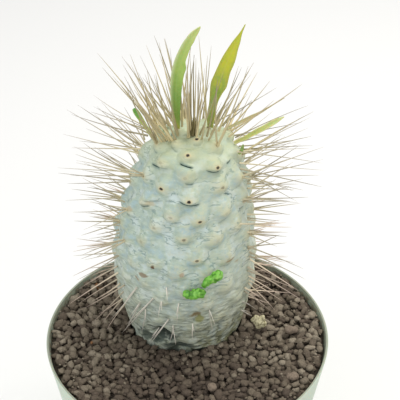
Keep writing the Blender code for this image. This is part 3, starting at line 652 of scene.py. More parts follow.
@dataclass(frozen=True)
class LeafFinish:
    """Fresh leaf: a thin waxy blade, satin on top, that lets some light through."""

    name: str
    stops: tuple[tuple[float, str], ...]
    rib: str
    margin: str
    margin_side: float = 0.0
    roughness: float = 0.45
    vein_spacing: float = 2.0 * MM
    vein_slant: float = 2.4 * MM
    cloud_size: float = 3.5 * MM

    def material(self) -> bpy.types.Material:
        """Colour ramp from foot to tip, with a pale midrib, side veins and a lighter margin."""
        material = new_material(self.name, self.roughness, IOR=1.45, Subsurface_Weight=0.2,
                                Subsurface_Scale=0.8 * MM)
        tree = material.node_tree
        along, across, length = (add_node(tree, Kind.ATTRIBUTE, attribute_name=name)
                                 for name in ("leaf_along", "leaf_across", "leaf_length"))
        cloud = add_node(tree, Kind.CLOUD, add_node(tree, Kind.PLACE), per(self.cloud_size), 4.0, 0.6)
        drift = add_node(tree, Kind.ADD, add_node(tree, Kind.EASE, cloud, 0.2, 0.8, -0.12, 0.12), along)
        colour = add_node(tree, Kind.RAMP, drift, stops=self.stops)
        off_rib = add_node(tree, Kind.SIZE, across)
        rib = add_node(tree, Kind.EASE, off_rib, 0.03, 0.16, 0.4, 0.0)
        colour = add_node(tree, Kind.TINT, rib, colour, self.rib)
        sided = add_node(tree, Kind.TIMES_ADD, across, self.margin_side, off_rib)
        edge = add_node(tree, Kind.EASE, sided, 0.5, 1.0 + abs(self.margin_side), 0.0, 0.8)
        colour = add_node(tree, Kind.TINT, edge, colour, self.margin)
        slant = add_node(tree, Kind.TIMES_ADD, off_rib, -self.vein_slant, length)
        wave = add_node(tree, Kind.WAVE, add_node(tree, Kind.TIMES, slant, math.tau / self.vein_spacing))
        vein = add_node(tree, Kind.EASE, wave, 0.6, 1.0, 0.0, 0.2)
        colour = add_node(tree, Kind.TINT, vein, colour, self.rib)
        return dress(material, colour, add_node(tree, Kind.ADD, vein, rib), 0.35, 0.25 * MM)


@dataclass(frozen=True)
class SproutFinish:
    """Fleshy new shoot: taut, saturated green with a soft shine, and painted shade in its folds."""

    deep: str = "#3F7A1E"
    fresh: str = "#6CAD3A"
    light: str = "#92C860"
    roughness: float = 0.38
    cloud_size: float = 2.2 * MM

    def material(self) -> bpy.types.Material:
        """Noise between three greens, and painted shade where the flesh folds in."""
        material = new_material("fleshy_green_shoot", self.roughness, IOR=1.42, Subsurface_Weight=0.15,
                                Subsurface_Scale=0.8 * MM)
        tree = material.node_tree
        cloud = add_node(tree, Kind.CLOUD, add_node(tree, Kind.PLACE), per(self.cloud_size), 3.0)
        body = add_node(tree, Kind.RAMP, cloud, stops=((0.32, self.deep), (0.48, self.fresh), (0.7, self.light)))
        # Painted shade: the deep green is laid where the flesh folds in.
        fold = add_node(tree, Kind.EASE, add_node(tree, Kind.ATTRIBUTE, attribute_name="fold"), 0.0, 1.0, 0.0, 0.8)
        return dress(material, add_node(tree, Kind.TINT, fold, body, self.deep), cloud, 0.4, 0.3 * MM)


@dataclass(frozen=True)
class GritFinish:
    """Loose volcanic grit: porous brown stone, fully matt, each grain a little different."""

    name: str
    stops: tuple[tuple[float, str], ...]
    roughness: float = 0.92
    pore_size: float = 0.8 * MM

    def material(self) -> bpy.types.Material:
        """A tone for each grain, broken up by pores."""
        material = new_material(self.name, self.roughness, IOR=1.5, Specular_IOR_Level=0.25)
        tree = material.node_tree
        tone = add_node(tree, Kind.ATTRIBUTE, attribute_name="grain_tone")
        colour = add_node(tree, Kind.RAMP, tone, stops=self.stops)
        pores = add_node(tree, Kind.CLOUD, add_node(tree, Kind.PLACE), per(self.pore_size), 4.0, 0.7)
        value = add_node(tree, Kind.EASE, pores, 0.3, 0.7, 0.72, 1.24)
        return dress(material, add_node(tree, Kind.BRIGHTEN, colour, value), pores, 0.8, 0.3 * MM)


@dataclass(frozen=True)
class HuskFinish:
    """Dry papery flake: pale straw, matt, with fibres and browner creases."""

    pale: str = "#CDC6A2"
    shade: str = "#8F8662"
    roughness: float = 0.85
    fibre_size: float = 1.2 * MM

    def material(self) -> bpy.types.Material:
        """Straw colour with fibrous streaks."""
        material = new_material("dry_papery_husk", self.roughness)
        tree = material.node_tree
        drawn = add_node(tree, Kind.STRETCH, add_node(tree, Kind.PLACE), (1.0, 1.0, 0.4))
        fibres = add_node(tree, Kind.CLOUD, drawn, per(self.fibre_size), 4.0, 0.65)
        return dress(material, add_node(tree, Kind.RAMP, fibres, stops=((0.32, self.shade), (0.52, self.pale))),
                     fibres, 0.7, 0.5 * MM)


@dataclass(frozen=True)
class PotFinish:
    """Injection-moulded polypropylene: an even satin skin with a faint grain, a little dusty inside
    the rim from the grit, with painted shade on the inner wall and a painted shade stripe on the rim's top."""

    green: str = "#B9C8B4"
    light: str = "#C3CFBC"
    dust: str = "#7C735E"
    rim_shade_stripe: str = "#8F9583"
    roughness: float = 0.42
    cloud_size: float = 38.0 * MM
    fleck_size: float = 3.0 * MM
    grain_size: float = 0.6 * MM

    def material(self) -> bpy.types.Material:
        """Pale sage, with soft clouds, dust and painted shade inside the rim, and a painted shade stripe on its top."""
        material = new_material("moulded_polypropylene", self.roughness, IOR=1.49, Subsurface_Weight=0.1,
                                Subsurface_Scale=1.0 * MM)
        tree = material.node_tree
        place = add_node(tree, Kind.PLACE)
        soft, flecks, grain = (add_node(tree, Kind.CLOUD, place, per(size), detail) for size, detail in (
            (self.cloud_size, 2.0), (self.fleck_size, 4.0), (self.grain_size, 2.0)))
        colour = add_node(tree, Kind.RAMP, soft, stops=((0.35, self.green), (0.65, self.light)))
        inside, rim = (add_node(tree, Kind.ATTRIBUTE, attribute_name=name) for name in ("inner_wall", "rim_top"))
        # Dust and painted shade on the inner wall below the rim.
        dust_and_shade = add_node(tree, Kind.TIMES, add_node(tree, Kind.EASE, flecks, 0.35, 0.62, 0.35, 0.9), inside)
        colour = add_node(tree, Kind.TINT, dust_and_shade, colour, self.dust)
        # Painted shade: a darker stripe on the rim's top and inner edge.
        return dress(material, add_node(tree, Kind.TINT, rim, colour, self.rim_shade_stripe), grain, 0.08, 0.1 * MM)


@dataclass(frozen=True)
class FloorFinish:
    """Matt white studio board: even and pale, so that the plant stands clear of it."""

    white: str = "#E2E2E1"
    roughness: float = 0.95

    def material(self) -> bpy.types.Material:
        """Near white, with no gloss."""
        material = new_material("matt_white_board", self.roughness, Specular_IOR_Level=0.1)
        material.node_tree.nodes["Principled BSDF"].inputs["Base Color"].default_value = linear(self.white)
        return material


class Meridian:
    """The barrel's outline from the crown's tip down to the soil, measured along its length."""

    SAMPLES = 400
    NORMAL_STEP = 1.5 * MM

    def __init__(self) -> None:
        """Sample the dome and the barrel under it."""
        dome = BARREL_OUTLINE[-1][1] * MM
        turns = np.arange(self.SAMPLES // 4) * (math.pi / 2 / (self.SAMPLES // 4))
        heights = SHOULDER_HEIGHT * (1.0 - np.arange(self.SAMPLES + 1) / self.SAMPLES)
        radii = [barrel_radius(height) for height in heights]
        self.radii = np.concatenate([dome * np.sin(turns), radii])
        dome_heights = SHOULDER_HEIGHT + (TRUNK_HEIGHT - SHOULDER_HEIGHT) * np.cos(turns)
        self.heights = np.concatenate([dome_heights, heights])
        steps = np.hypot(np.diff(self.radii), np.diff(self.heights))
        self.lengths = np.concatenate([[0.0], np.cumsum(steps)])
        self.total = float(self.lengths[-1])

    def at(self, length: float | np.ndarray) -> tuple:
        """Radius and height at a length from the tip, or at many."""
        return (np.interp(length, self.lengths, self.radii), np.interp(length, self.lengths, self.heights))

    def normal(self, length: float | np.ndarray) -> tuple:
        """Outward normal as its level and upward parts, at one length or many."""
        r0, h0 = self.at(np.maximum(length - self.NORMAL_STEP, 0.0))
        r1, h1 = self.at(np.minimum(length + self.NORMAL_STEP, self.total))
        size = np.hypot(r1 - r0, h1 - h0)
        return (h0 - h1) / size, (r1 - r0) / size

    def length_at(self, height: float) -> float:
        """Length from the tip down to a height above the soil."""
        return float(self.lengths[np.argmin(np.abs(self.heights - height))])


@dataclass
class Tubercle:
    """One swelling of the bark: where its tip is, how large it is, and its marks."""

    meridian: Meridian
    angle: float
    length: float
    scar: float = 0.5

    def __post_init__(self) -> None:
        """Work out its place and size."""
        self.length = min(max(self.length, FIRST_TUBERCLE), self.meridian.total - LAST_TUBERCLE)
        radius, height = self.meridian.at(self.length)
        self.radius, self.height = float(radius), float(height)
        growth = min(self.length / CROWN_LENGTH, 1.0)
        self.size = math.sqrt(CROWN_CELL + (1.0 - CROWN_CELL) * growth)
        self.spot = radial(self.angle) * self.radius + UP * self.height

    def spacing(self) -> float:
        """Distance to the next tubercles when all stand evenly."""
        return PACKING * self.size * math.sqrt(CELL_AREA)

    def pushed(self, others: Sequence["Tubercle"]) -> "Tubercle":
        """The same tubercle moved away from those that stand too close."""
        push = Vector()
        for other in others:
            offset = self.spot - other.spot
            if other is not self and 0.0 < offset.length < self.spacing():
                push += offset.normalized() * (self.spacing() - offset.length)
        out, up = self.meridian.normal(self.length)
        around = Vector((math.cos(self.angle), math.sin(self.angle), 0.0))
        down = radial(self.angle) * float(up) - UP * float(out)
        turn = push.dot(around) * SPREAD_SHARE / max(self.radius, SMALLEST_TURN)
        return Tubercle(self.meridian, self.angle + turn, self.length + push.dot(down) * SPREAD_SHARE, self.scar)


def place_tubercles(meridian: Meridian) -> list[Tubercle]:
    """Put tubercles where the front shows them, and a golden spiral of others round them.

    Args:
        meridian: The barrel's outline.

    Returns:
        All tubercles from the crown down.
    """
    chance = random.Random(5)
    seen = [Tubercle(meridian, math.radians(angle), meridian.length_at(height * MM), scar)
            for angle, height, scar in SEEN_TUBERCLES]
    free = []
    length = FIRST_TUBERCLE
    angle = SPIRAL_START
    while length < meridian.total - LAST_TUBERCLE:
        tubercle = Tubercle(meridian, angle, length)
        if all((tubercle.spot - old.spot).length > SEEN_REACH * tubercle.spacing() for old in seen):
            tubercle.scar = chance.uniform(0.1, 0.3) + 0.5 * smooth_step((tubercle.height - 40 * MM) / (60 * MM))
            tubercle.scar *= 1.0 if math.cos(tubercle.angle) < FRONT_SHARE else 0.25
            free.append(tubercle)
        angle += GOLDEN_ANGLE
        length += CELL_AREA * tubercle.size**2 / (math.tau * max(tubercle.radius, SMALLEST_TURN))
    for _ in range(SPREAD_ROUNDS):
        free = [tubercle.pushed(seen + free) for tubercle in free]
    return sorted(seen + free, key=lambda tubercle: tubercle.length)


@dataclass
class Furrow:
    """A crease of the bark: where its middle is, how it runs and how dark it is."""

    angle: float
    length: float
    half: float
    slope: float
    sag: float
    strength: float

    @classmethod
    def between(cls, meridian: Meridian, start: tuple[float, float], end: tuple[float, float], sag: float,
                strength: float) -> "Furrow":
        """Make a crease from its two ends.

        Args:
            meridian: The barrel's outline.
            start: Angle in degrees and height in millimetres of its left end.
            end: The same for its right end.
            sag: How far its middle hangs below its ends, in millimetres.
            strength: Share of the full depth and darkness.

        Returns:
            The crease.
        """
        lengths = [meridian.length_at(height * MM) for _, height in (start, end)]
        middle = (lengths[0] + lengths[1]) / 2
        across = math.radians(end[0] - start[0]) * float(meridian.at(middle)[0])
        slope = math.atan2(lengths[1] - lengths[0], across)
        return cls(math.radians(start[0] + end[0]) / 2, middle + sag * MM / 2,
                   math.hypot(across, lengths[1] - lengths[0]) / 2, slope, sag * MM, strength)


def place_furrows(meridian: Meridian, tubercles: Sequence[Tubercle]) -> list[Furrow]:
    """Creases where the front shows them, and one under many of the other tubercles.

    Args:
        meridian: The barrel's outline.
        tubercles: All tubercles.

    Returns:
        The creases.
    """
    chance = random.Random(17)
    furrows = [Furrow.between(meridian, *row) for row in SEEN_FURROWS]
    for tubercle in tubercles:
        drop = chance.uniform(3.0, 4.8) * MM * tubercle.size
        fresh = smooth_step((tubercle.height - 18 * MM) / (70 * MM))
        fresh *= 1.0 if math.cos(tubercle.angle) < FRONT_SHARE else 0.3
        furrow = Furrow(tubercle.angle + chance.uniform(-0.06, 0.06), tubercle.length + drop,
                        chance.uniform(2.2, 4.6) * MM * tubercle.size, chance.uniform(-0.35, 0.35),
                        chance.uniform(0.2, 1.2) * MM, chance.uniform(0.05, 0.25) + chance.uniform(0.0, 0.4) * fresh)
        apart = all(math.hypot((furrow.angle - old.angle) * tubercle.radius, furrow.length - old.length) > 5 * MM
                    for old in furrows)
        if apart:
            furrows.append(furrow)
    return furrows


@dataclass
class Trunk:
    """The grown barrel: tubercles, leaf scars and creases, and a wrinkled foot."""

    meridian: Meridian
    tubercles: list[Tubercle]
    furrows: list[Furrow]
    finish: BarkFinish = BarkFinish()
    steps: int = 320
    ring_step: float = 0.44 * MM
    root_rings: int = 6
    crease_depth: float = 1.0 * MM
    crease_width: float = 0.42 * MM
    lip_height: float = 0.6 * MM
    lip_width: float = 1.3 * MM
    scar_depth: float = 0.4 * MM
    scar_width: float = 0.75 * MM
    sag: float = 0.5 * MM
    wrinkle: float = 1.0 * MM
    wrinkle_top: float = 62.0 * MM
    # Depth of the hollows between tubercles as a share of the solid's, by height in millimetres.
    hollows: tuple = ((0, 0.3), (30, 0.5), (55, 0.75), (80, 1.1), (110, 1.2))
    # Sunken places of the foot: angle in degrees, height, half size and depth in millimetres.
    dents: tuple = ((-19.0, 10.5, 5.6, 3.2), (-4.0, 1.0, 6.5, 2.2), (-38.0, 3.0, 5.0, 1.8), (11.0, 25.5, 3.0, 0.7),
                    (30.0, 14.0, 4.0, 0.8), (-24.5, 51.5, 1.6, 0.9))

    def __post_init__(self) -> None:
        """Gather the numbers of all tubercles and creases in arrays."""
        self.bumps = {name: np.array([getattr(tubercle, name) for tubercle in self.tubercles], np.float32)
                      for name in ("angle", "length", "size", "scar", "height")}
        self.creases = {name: np.array([getattr(furrow, name) for furrow in self.furrows], np.float32)
                        for name in ("angle", "length", "half", "slope", "sag", "strength")}

    def outline(self) -> tuple[list[tuple[float, float]], list[float]]:
        """Outline from the crown to the root's tip, and each point's length from the crown."""
        rings = round(self.meridian.total / self.ring_step)
        lengths = [self.meridian.total * ring / rings for ring in range(rings + 1)]
        points = [tuple(float(value) for value in self.meridian.at(length)) for length in lengths]
        for ring in range(1, self.root_rings + 1):
            share = ring / self.root_rings
            neck = barrel_radius(0.0) * (1.0 - share**1.6 * 0.85) if ring < self.root_rings else 0.0
            points.append((neck, -ROOT_DEPTH * share))
            lengths.append(self.meridian.total + ROOT_DEPTH * share)
        return points, lengths

    def from_bumps(self, spots: np.ndarray, owner: np.ndarray | None = None) -> tuple[np.ndarray, np.ndarray]:
        """How far spots of the barrel lie from the tubercles.

        Args:
            spots: Angle, length from the crown and radius, one column for each spot.
            owner: The tubercle of each spot. Without it, each spot is held against all.

        Returns:
            The offsets across and down.
        """
        return self.from_marks(self.bumps, spots, owner)

    def from_marks(self, marks: dict[str, np.ndarray], spots: np.ndarray,
                   owner: np.ndarray | None) -> tuple[np.ndarray, np.ndarray]:
        """The same for any marks that have an angle and a length."""
        angle, length, radius = spots if owner is not None else spots[:, :, None]
        chosen = owner if owner is not None else slice(None)
        turn = (angle - marks["angle"][chosen] + math.pi) % math.tau - math.pi
        return turn * radius, length - marks["length"][chosen]

    def from_creases(self, spots: np.ndarray, owner: np.ndarray | None = None) -> tuple[np.ndarray, np.ndarray]:
        """How far spots lie along the creases, in half lengths, and off their lines."""
        across, down = self.from_marks(self.creases, spots, owner)
        chosen = owner if owner is not None else slice(None)
        slope = self.creases["slope"][chosen]
        along = (across * np.cos(slope) + down * np.sin(slope)) / self.creases["half"][chosen]
        off = down * np.cos(slope) - across * np.sin(slope)
        return along, off + self.creases["sag"][chosen] * along**2

    def bump_owner(self, spots: np.ndarray) -> np.ndarray:
        """Index of the tubercle that each spot belongs to."""
        across, down = self.from_bumps(spots)
        return np.argmin(np.hypot(across, down) / self.bumps["size"], axis=1)

    def crease_owner(self, spots: np.ndarray) -> np.ndarray:
        """Index of the crease that is nearest to each spot."""
        along, off = self.from_creases(spots)
        beyond = np.maximum(np.abs(along) - 0.7, 0.0) * self.creases["half"]
        return np.argmin(np.hypot(beyond, off) + (1.0 - self.creases["strength"]) * MM, axis=1)

    def lift(self, spots: np.ndarray) -> np.ndarray:
        """Height of the tubercles, as the solid has it."""
        across, down = self.from_bumps(spots)
        reach = np.where(down > 0.0, TUBERCLE_LOWER, TUBERCLE_UPPER)
        distance = np.hypot(across / TUBERCLE_HALF_WIDTH, down / reach) / self.bumps["size"]
        return TUBERCLE_LIFT * (self.bumps["size"] * smooth_steps(1.0 - distance)).max(axis=1)

    def marks_depth(self, spots: np.ndarray) -> np.ndarray:
        """Depth of the creases and scars at each spot, less the lips over the creases."""
        owner = self.crease_owner(spots)
        along, off = self.from_creases(spots, owner)
        strength = self.creases["strength"][owner] * smooth_steps((1.05 - np.abs(along)) * 2.0)
        cut = self.crease_depth * np.exp(-(off / self.crease_width) ** 2)
        lip = self.lip_height * np.exp(-((off + self.lip_width) / self.lip_width) ** 2)
        owner = self.bump_owner(spots)
        reach = np.hypot(*self.from_bumps(spots, owner)) / self.scar_width
        return strength * (cut - lip) + self.scar_depth * self.bumps["scar"][owner] * np.exp(-(reach**2))

    def skin_relief(self, spot: Vector) -> tuple[float, float]:
        """Uneven skin at a spot of the barrel.

        Args:
            spot: Its place before the skin is raised, over the middle of the trunk's foot.

        Returns:
            The skin's height in metres, and how much painted shade the spot gets in a wrinkle floor.
        """
        sag = noise.noise(spot / (11 * MM)) + 0.5 * noise.noise(spot / (4.5 * MM)) + 0.25 * noise.noise(spot / (2 * MM))
        low = smooth_step(1.0 - spot.z / self.wrinkle_top)
        if low <= 0.0:
            return sag * self.sag, 0.0
        bent = Vector((spot.x / (9 * MM), spot.y / (9 * MM), spot.z / (2.3 * MM)))
        fold = 1.0 - abs(noise.noise(bent)) * 2.6
        fine = 1.0 - abs(noise.noise(bent * 1.9 + UP * 7.0)) * 2.6
        floor = max(fold, 0.0) ** 3 + 0.5 * max(fine, 0.0) ** 3
        return sag * self.sag - self.wrinkle * low * floor * 0.7, min(low**1.4 * floor * 0.8, 0.88)

    def dent_depth(self, places: np.ndarray) -> np.ndarray:
        """Depth of the sunken places at each spot of the barrel."""
        depth = np.zeros(len(places))
        for angle, height, size, most in self.dents:
            middle = np.array(radial(math.radians(angle)) * barrel_radius(height * MM) + UP * height * MM)
            reach = np.linalg.norm(places - middle, axis=1) / (size * MM)
            depth = np.maximum(depth, most * MM * smooth_steps(1.25 - reach))
        return depth

    def build(self) -> bpy.types.Object:
        """Spin the barrel, raise its skin and map its marks.

        Returns:
            The trunk.
        """
        points, lengths = self.outline()
        bm = bmesh.new()
        spin_outline(bm, points, self.steps, lengths)
        mesh = mesh_from(bm, "trunk_bark")
        places = points_of(mesh)
        length = np.empty(len(places))
        mesh.attributes["tag"].data.foreach_get("value", length)
        spots = barrel_spots(places, length)
        height = places[:, 2]
        foot = smooth_steps(height / SMOOTH_FOOT)
        share = np.interp(height / MM, *zip(*self.hollows))
        relief = np.array([self.skin_relief(Vector(place)) for place in places])
        lift = self.lift(spots)
        rise = (lift - TUBERCLE_LIFT) * share * foot - self.marks_depth(spots) * foot
        rise += relief[:, 0] - self.dent_depth(places)
        rise[length > self.meridian.total] = 0.0
        rise[spots[2] < 0.05 * MM] = -TUBERCLE_LIFT / 2
        out, up = self.meridian.normal(np.minimum(length, self.meridian.total))
        turned = np.column_stack([np.sin(spots[0]) * out, -np.cos(spots[0]) * out, up])
        lean = TRUNK_LEAN * smooth_steps((height - LEAN_START) / LEAN_LENGTH)
        self.map_marks(mesh, places, length)
        # The fold attribute sets how much painted shade the wrinkle floors get.
        set_attribute(mesh, "fold", relief[:, 1])
        set_attribute(mesh, "lift", lift / TUBERCLE_LIFT)
        places += turned * rise[:, None]
        places += np.column_stack([TRUNK_X + lean, np.full(len(lean), TRUNK_Y), np.full(len(lean), SOIL_TOP)])
        mesh.vertices.foreach_set("co", places.ravel())
        mesh.update()
        return add_piece(mesh, self.finish.material(), ["trunk"], 180.0)

    def map_marks(self, mesh: bpy.types.Mesh, places: np.ndarray, length: np.ndarray) -> None:
        """Give every face maps of where it lies from its tubercle and from its crease.

        Args:
            mesh: The trunk before its skin is raised.
            places: The places of its points.
            length: Each point's length from the crown.
        """
        loops = np.empty(len(mesh.loops), np.int32)
        mesh.loops.foreach_get("vertex_index", loops)
        starts = np.empty(len(mesh.polygons), np.int32)
        mesh.polygons.foreach_get("loop_start", starts)
        counts = np.diff(np.append(starts, len(loops)))
        middles = np.add.reduceat(places[loops], starts) / counts[:, None]
        face_spots = barrel_spots(middles, np.add.reduceat(length[loops], starts) / counts)
        corner_spots = barrel_spots(places[loops], length[loops])
        bump, crease = self.bump_owner(face_spots), self.crease_owner(face_spots)
        span = self.finish.map_span
        corner_bump = np.column_stack(self.from_bumps(corner_spots, np.repeat(bump, counts)))
        corner_crease = np.column_stack(self.from_creases(corner_spots, np.repeat(crease, counts)))
        for name, uv in (("tubercle_map", corner_bump / span), ("crease_map", corner_crease / (1.0, span))):
            mesh.uv_layers.new(name=name).data.foreach_set("uv", (uv + 0.5).ravel().astype(np.float32))
        warm = 0.15 + 0.6 * smooth_steps((self.bumps["height"][bump] - 20 * MM) / (70 * MM))
        for name, values in (("scar", self.bumps["scar"][bump]), ("crease", self.creases["strength"][crease]),
                             ("warm_tip", warm)):
            set_attribute(mesh, name, values, "FACE")


def barrel_spots(places: np.ndarray, length: np.ndarray) -> np.ndarray:
    """Angle, length from the crown and radius of places on the unleaning barrel, as three rows."""
    angle = np.arctan2(places[:, 0], -places[:, 1])
    return np.array([angle, length, np.hypot(places[:, 0], places[:, 1])], np.float32)


@dataclass
class Spine:
    """One tapering spine from its foot to its point."""

    foot: Vector
    tip: Vector
    radius: float
    bow: Vector = field(default_factory=Vector)


@dataclass
class Spines:
    """All the spines: the groups on the tubercles, young ones in the crown and old ones at the foot."""

    meridian: Meridian
    tubercles: list[Tubercle]
    sides: int = 6
    bends: int = 5
    group_radius: float = 0.36 * MM
    crown_radius: float = 0.46 * MM
    lower_radius: float = 0.36 * MM
    front_radius: float = 0.26 * MM
    sunk: float = 0.9 * MM
    bow: float = 0.9 * MM
    young_count: int = 58
    crown_height: float = 97.0 * MM
    # Groups behind this angle grow by habit, and spines under this height in millimetres are bleached.
    back_start: float = 98.0
    beside_share: float = 0.3
    bleached_top: float = 46.0
    crown: SpineFinish = SpineFinish("dry_crown_spine", "#C9BC92", "#BFB28A", "#A79C82")
    side: SpineFinish = SpineFinish("weathered_side_spine", "#C6BC9C", "#B5AB90", "#A0978A")
    lower: SpineFinish = SpineFinish("bleached_lower_spine", "#D2C7AA", "#D0BDA6", "#BBA698")
    front: SpineFinish = SpineFinish("whitened_front_spine", "#DAD6C6", "#DDD6C8", "#D0C4B4")
    dried: SpineFinish = SpineFinish("dried_leaf_base", "#5A5230", "#6A6138", "#9A8E62")

    def __post_init__(self) -> None:
        """Make the straight unit spine that all are bent from."""
        self.chance = random.Random(23)
        bm = bmesh.new()
        bmesh.ops.create_cone(bm, cap_ends=True, segments=self.sides, radius1=1.0, radius2=1.0, depth=1.0,
                              matrix=Matrix.Translation((0.0, 0.0, 0.5)))
        sides = [edge for edge in bm.edges if abs(edge.verts[0].co.z - edge.verts[1].co.z) > 0.5]
        bmesh.ops.subdivide_edges(bm, edges=sides, cuts=self.bends)
        self.template = mesh_from(bm, "unit_spine")
        self.materials = {name: getattr(self, name).material() for name in ("crown", "side", "lower", "front", "dried")}

    def piece(self, name: str, spines: Sequence[Spine], finish: str, replaced: Sequence[str] = ()) -> bpy.types.Object:
        """Join spines into one piece.

        Args:
            name: The piece's name.
            spines: Where they stand.
            finish: Name of their finish.
            replaced: Solids that they stand for.

        Returns:
            The piece.
        """
        bm = bmesh.new()
        for spine in spines:
            line = spine.tip - spine.foot
            turned = line.to_track_quat("Z", "Y").to_matrix()
            for vert in stamp(bm, self.template):
                t = vert.co.z
                girth = spine.radius * (0.9 * (1.0 - t) ** 0.7 + 0.1 + 0.4 * (1.0 - t) ** 9)
                across = turned @ Vector((vert.co.x, vert.co.y, 0.0)) * girth
                vert.co = spine.foot + line * t + spine.bow * (4.0 * t * (1.0 - t)) + across
        mesh = mesh_from(bm, name)
        set_attribute(mesh, "spine_along", np.tile(points_of(self.template)[:, 2], len(spines)))
        tones = [self.chance.random() for _ in spines]
        set_attribute(mesh, "spine_tone", np.repeat(tones, len(self.template.vertices)))
        return add_piece(mesh, self.materials[finish], replaced)

    def read_group(self, node: str) -> tuple[Vector, list[Vector]]:
        """Find a group's foot and points in its solid.

        Args:
            node: The solid's name.

        Returns:
            The foot's middle and the spines' points.
        """
        bm = solid_copy(node)
        tips = [vert.co.copy() for vert in bm.verts
                if min(edge.calc_length() for edge in vert.link_edges) > 3.0 * MM]
        middle = sum(tips, Vector()) / len(tips)
        # The solid's flat underside is the hexagon that lies farthest from its points.
        under = sorted((vert.co.copy() for vert in bm.verts), key=lambda place: -(place - middle).length)[:6]
        bm.free()
        return sum(under, Vector()) / len(under), tips

    def bend(self, length: float) -> Vector:
        """A small random sideways bow for a spine of a length."""
        turn = self.chance.uniform(0.0, math.tau)
        size = self.chance.uniform(0.2, 1.0) * self.bow * length / (30 * MM)
        return Vector((math.cos(turn), math.sin(turn), self.chance.uniform(-0.5, 0.5))) * size

    def grow(self, foot: Vector, tip: Vector, radius: float) -> Spine:
        """A spine whose foot is sunk into the bark and whose girth varies a little."""
        line = tip - foot
        return Spine(foot - line.normalized() * self.sunk, tip, radius * self.chance.uniform(0.8, 1.15),
                     self.bend(line.length))

    def build_groups(self) -> list[Vector]:
        """Replace every group's solid with fine spines.

        Returns:
            The groups' feet.
        """
        feet = []
        for node in sorted(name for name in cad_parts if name.startswith("spine_cluster")):
            foot, tips = self.read_group(node)
            high = foot.z > SOIL_TOP + self.crown_height
            middle = sum(tips, Vector()) / len(tips)
            radius = self.crown_radius if high else self.group_radius
            spines = [self.grow(foot + (tip - middle).normalized() * 0.45 * MM, tip, radius) for tip in tips]
            self.piece("fine_" + node, spines, "crown" if high else "side", [node])
            feet.append(foot)
        return feet

    def build_young(self, leaves: Sequence[BVHTree]) -> list[bpy.types.Object]:
        """Young spines that stand close together in the crown, clear of the leaves, and the dark
        dried base of an old leaf between them.

        Args:
            leaves: Surfaces to stay clear of.

        Returns:
            The pieces.
        """
        spines = []
        tries = 0
        while len(spines) < self.young_count and tries < 6000:
            tries += 1
            turn = self.chance.uniform(-math.pi, math.pi)
            reach = 21 * MM * math.sqrt(self.chance.random()) * (1.0 - 0.78 * max(math.cos(turn), 0.0))
            foot = crown_point(self.meridian, turn, reach, -1.6 * MM)
            rise = math.radians(90.0 - 2.3 * reach / MM + self.chance.uniform(-9.0, 9.0))
            heading = radial(turn + self.chance.uniform(-0.4, 0.4)) * math.cos(rise) + UP * math.sin(rise)
            tip = foot + heading * self.chance.uniform(22.0, 40.0) * MM
            points = [foot.lerp(tip, 0.12 + 0.08 * step) for step in range(12)]
            if all(tree.find_nearest(point, 1.2 * MM)[0] is None for tree in leaves for point in points):
                spines.append(Spine(foot, tip, self.chance.uniform(0.32, 0.52) * MM, self.bend(30 * MM)))
        foot = crown_point(self.meridian, 0.0, 4.0 * MM, -1.0 * MM)
        dried = [Spine(foot + Vector((x, y, 0.0)) * MM, foot + Vector((x + lean, y, height)) * MM, 0.6 * MM)
                 for x, y, lean, height in ((0.0, 0.0, 2.2, 14.0), (1.0, -0.5, 1.4, 10.0))]
        return [self.piece("young_crown_spines", spines, "crown"), self.piece("dried_leaf_base", dried, "dried")]

    def build_lower(self, feet: Sequence[Vector]) -> list[bpy.types.Object]:
        """Old spines that the solids leave out: at the sides and the back, and hanging in front.

        Args:
            feet: Feet of the groups that stand already.

        Returns:
            The pieces for each side of the trunk.
        """
        old: list[Spine] = []
        for tubercle in self.tubercles:
            seat = bark_point(tubercle.angle, tubercle.height, -0.6 * MM)
            turned = math.degrees((tubercle.angle + math.pi) % math.tau - math.pi)
            taken = any((seat - foot).length < 5.0 * MM for foot in feet)
            if taken or tubercle.height > 75 * MM or abs(turned) < self.back_start:
                continue
            for turn in (-17.0, 15.0, 1.0, -4.0, 8.0):
                rise = curve_value(LOW_HABIT, tubercle.height / MM, 2) + self.chance.uniform(-10.0, 10.0)
                size = curve_value(LOW_HABIT, tubercle.height / MM, 1) * self.chance.uniform(0.6, 1.1)
                rise = math.radians(rise)
                spread = math.radians(turn + self.chance.uniform(-7.0, 7.0)) / max(math.cos(rise), 0.5)
                heading = radial(tubercle.angle + spread) * math.cos(rise) + UP * math.sin(rise)
                tip = seat + heading * size * MM
                tip.z = max(tip.z, SOIL_TOP + 1.6 * MM)
                old.append(self.grow(seat, tip, self.lower_radius))
        pieces = [self.piece("lower_spines_back", old, "lower"), self.build_front()]
        for side, rows in (("right", RIGHT_SPINES), ("left", LEFT_SPINES)):
            high = [row for row in rows if row[1] > self.bleached_top]
            low = [row for row in rows if row[1] <= self.bleached_top]
            pieces.append(self.piece("side_spines_" + side, self.placed(high), "side"))
            pieces.append(self.piece("lower_spines_" + side, self.placed(low), "lower"))
        return pieces

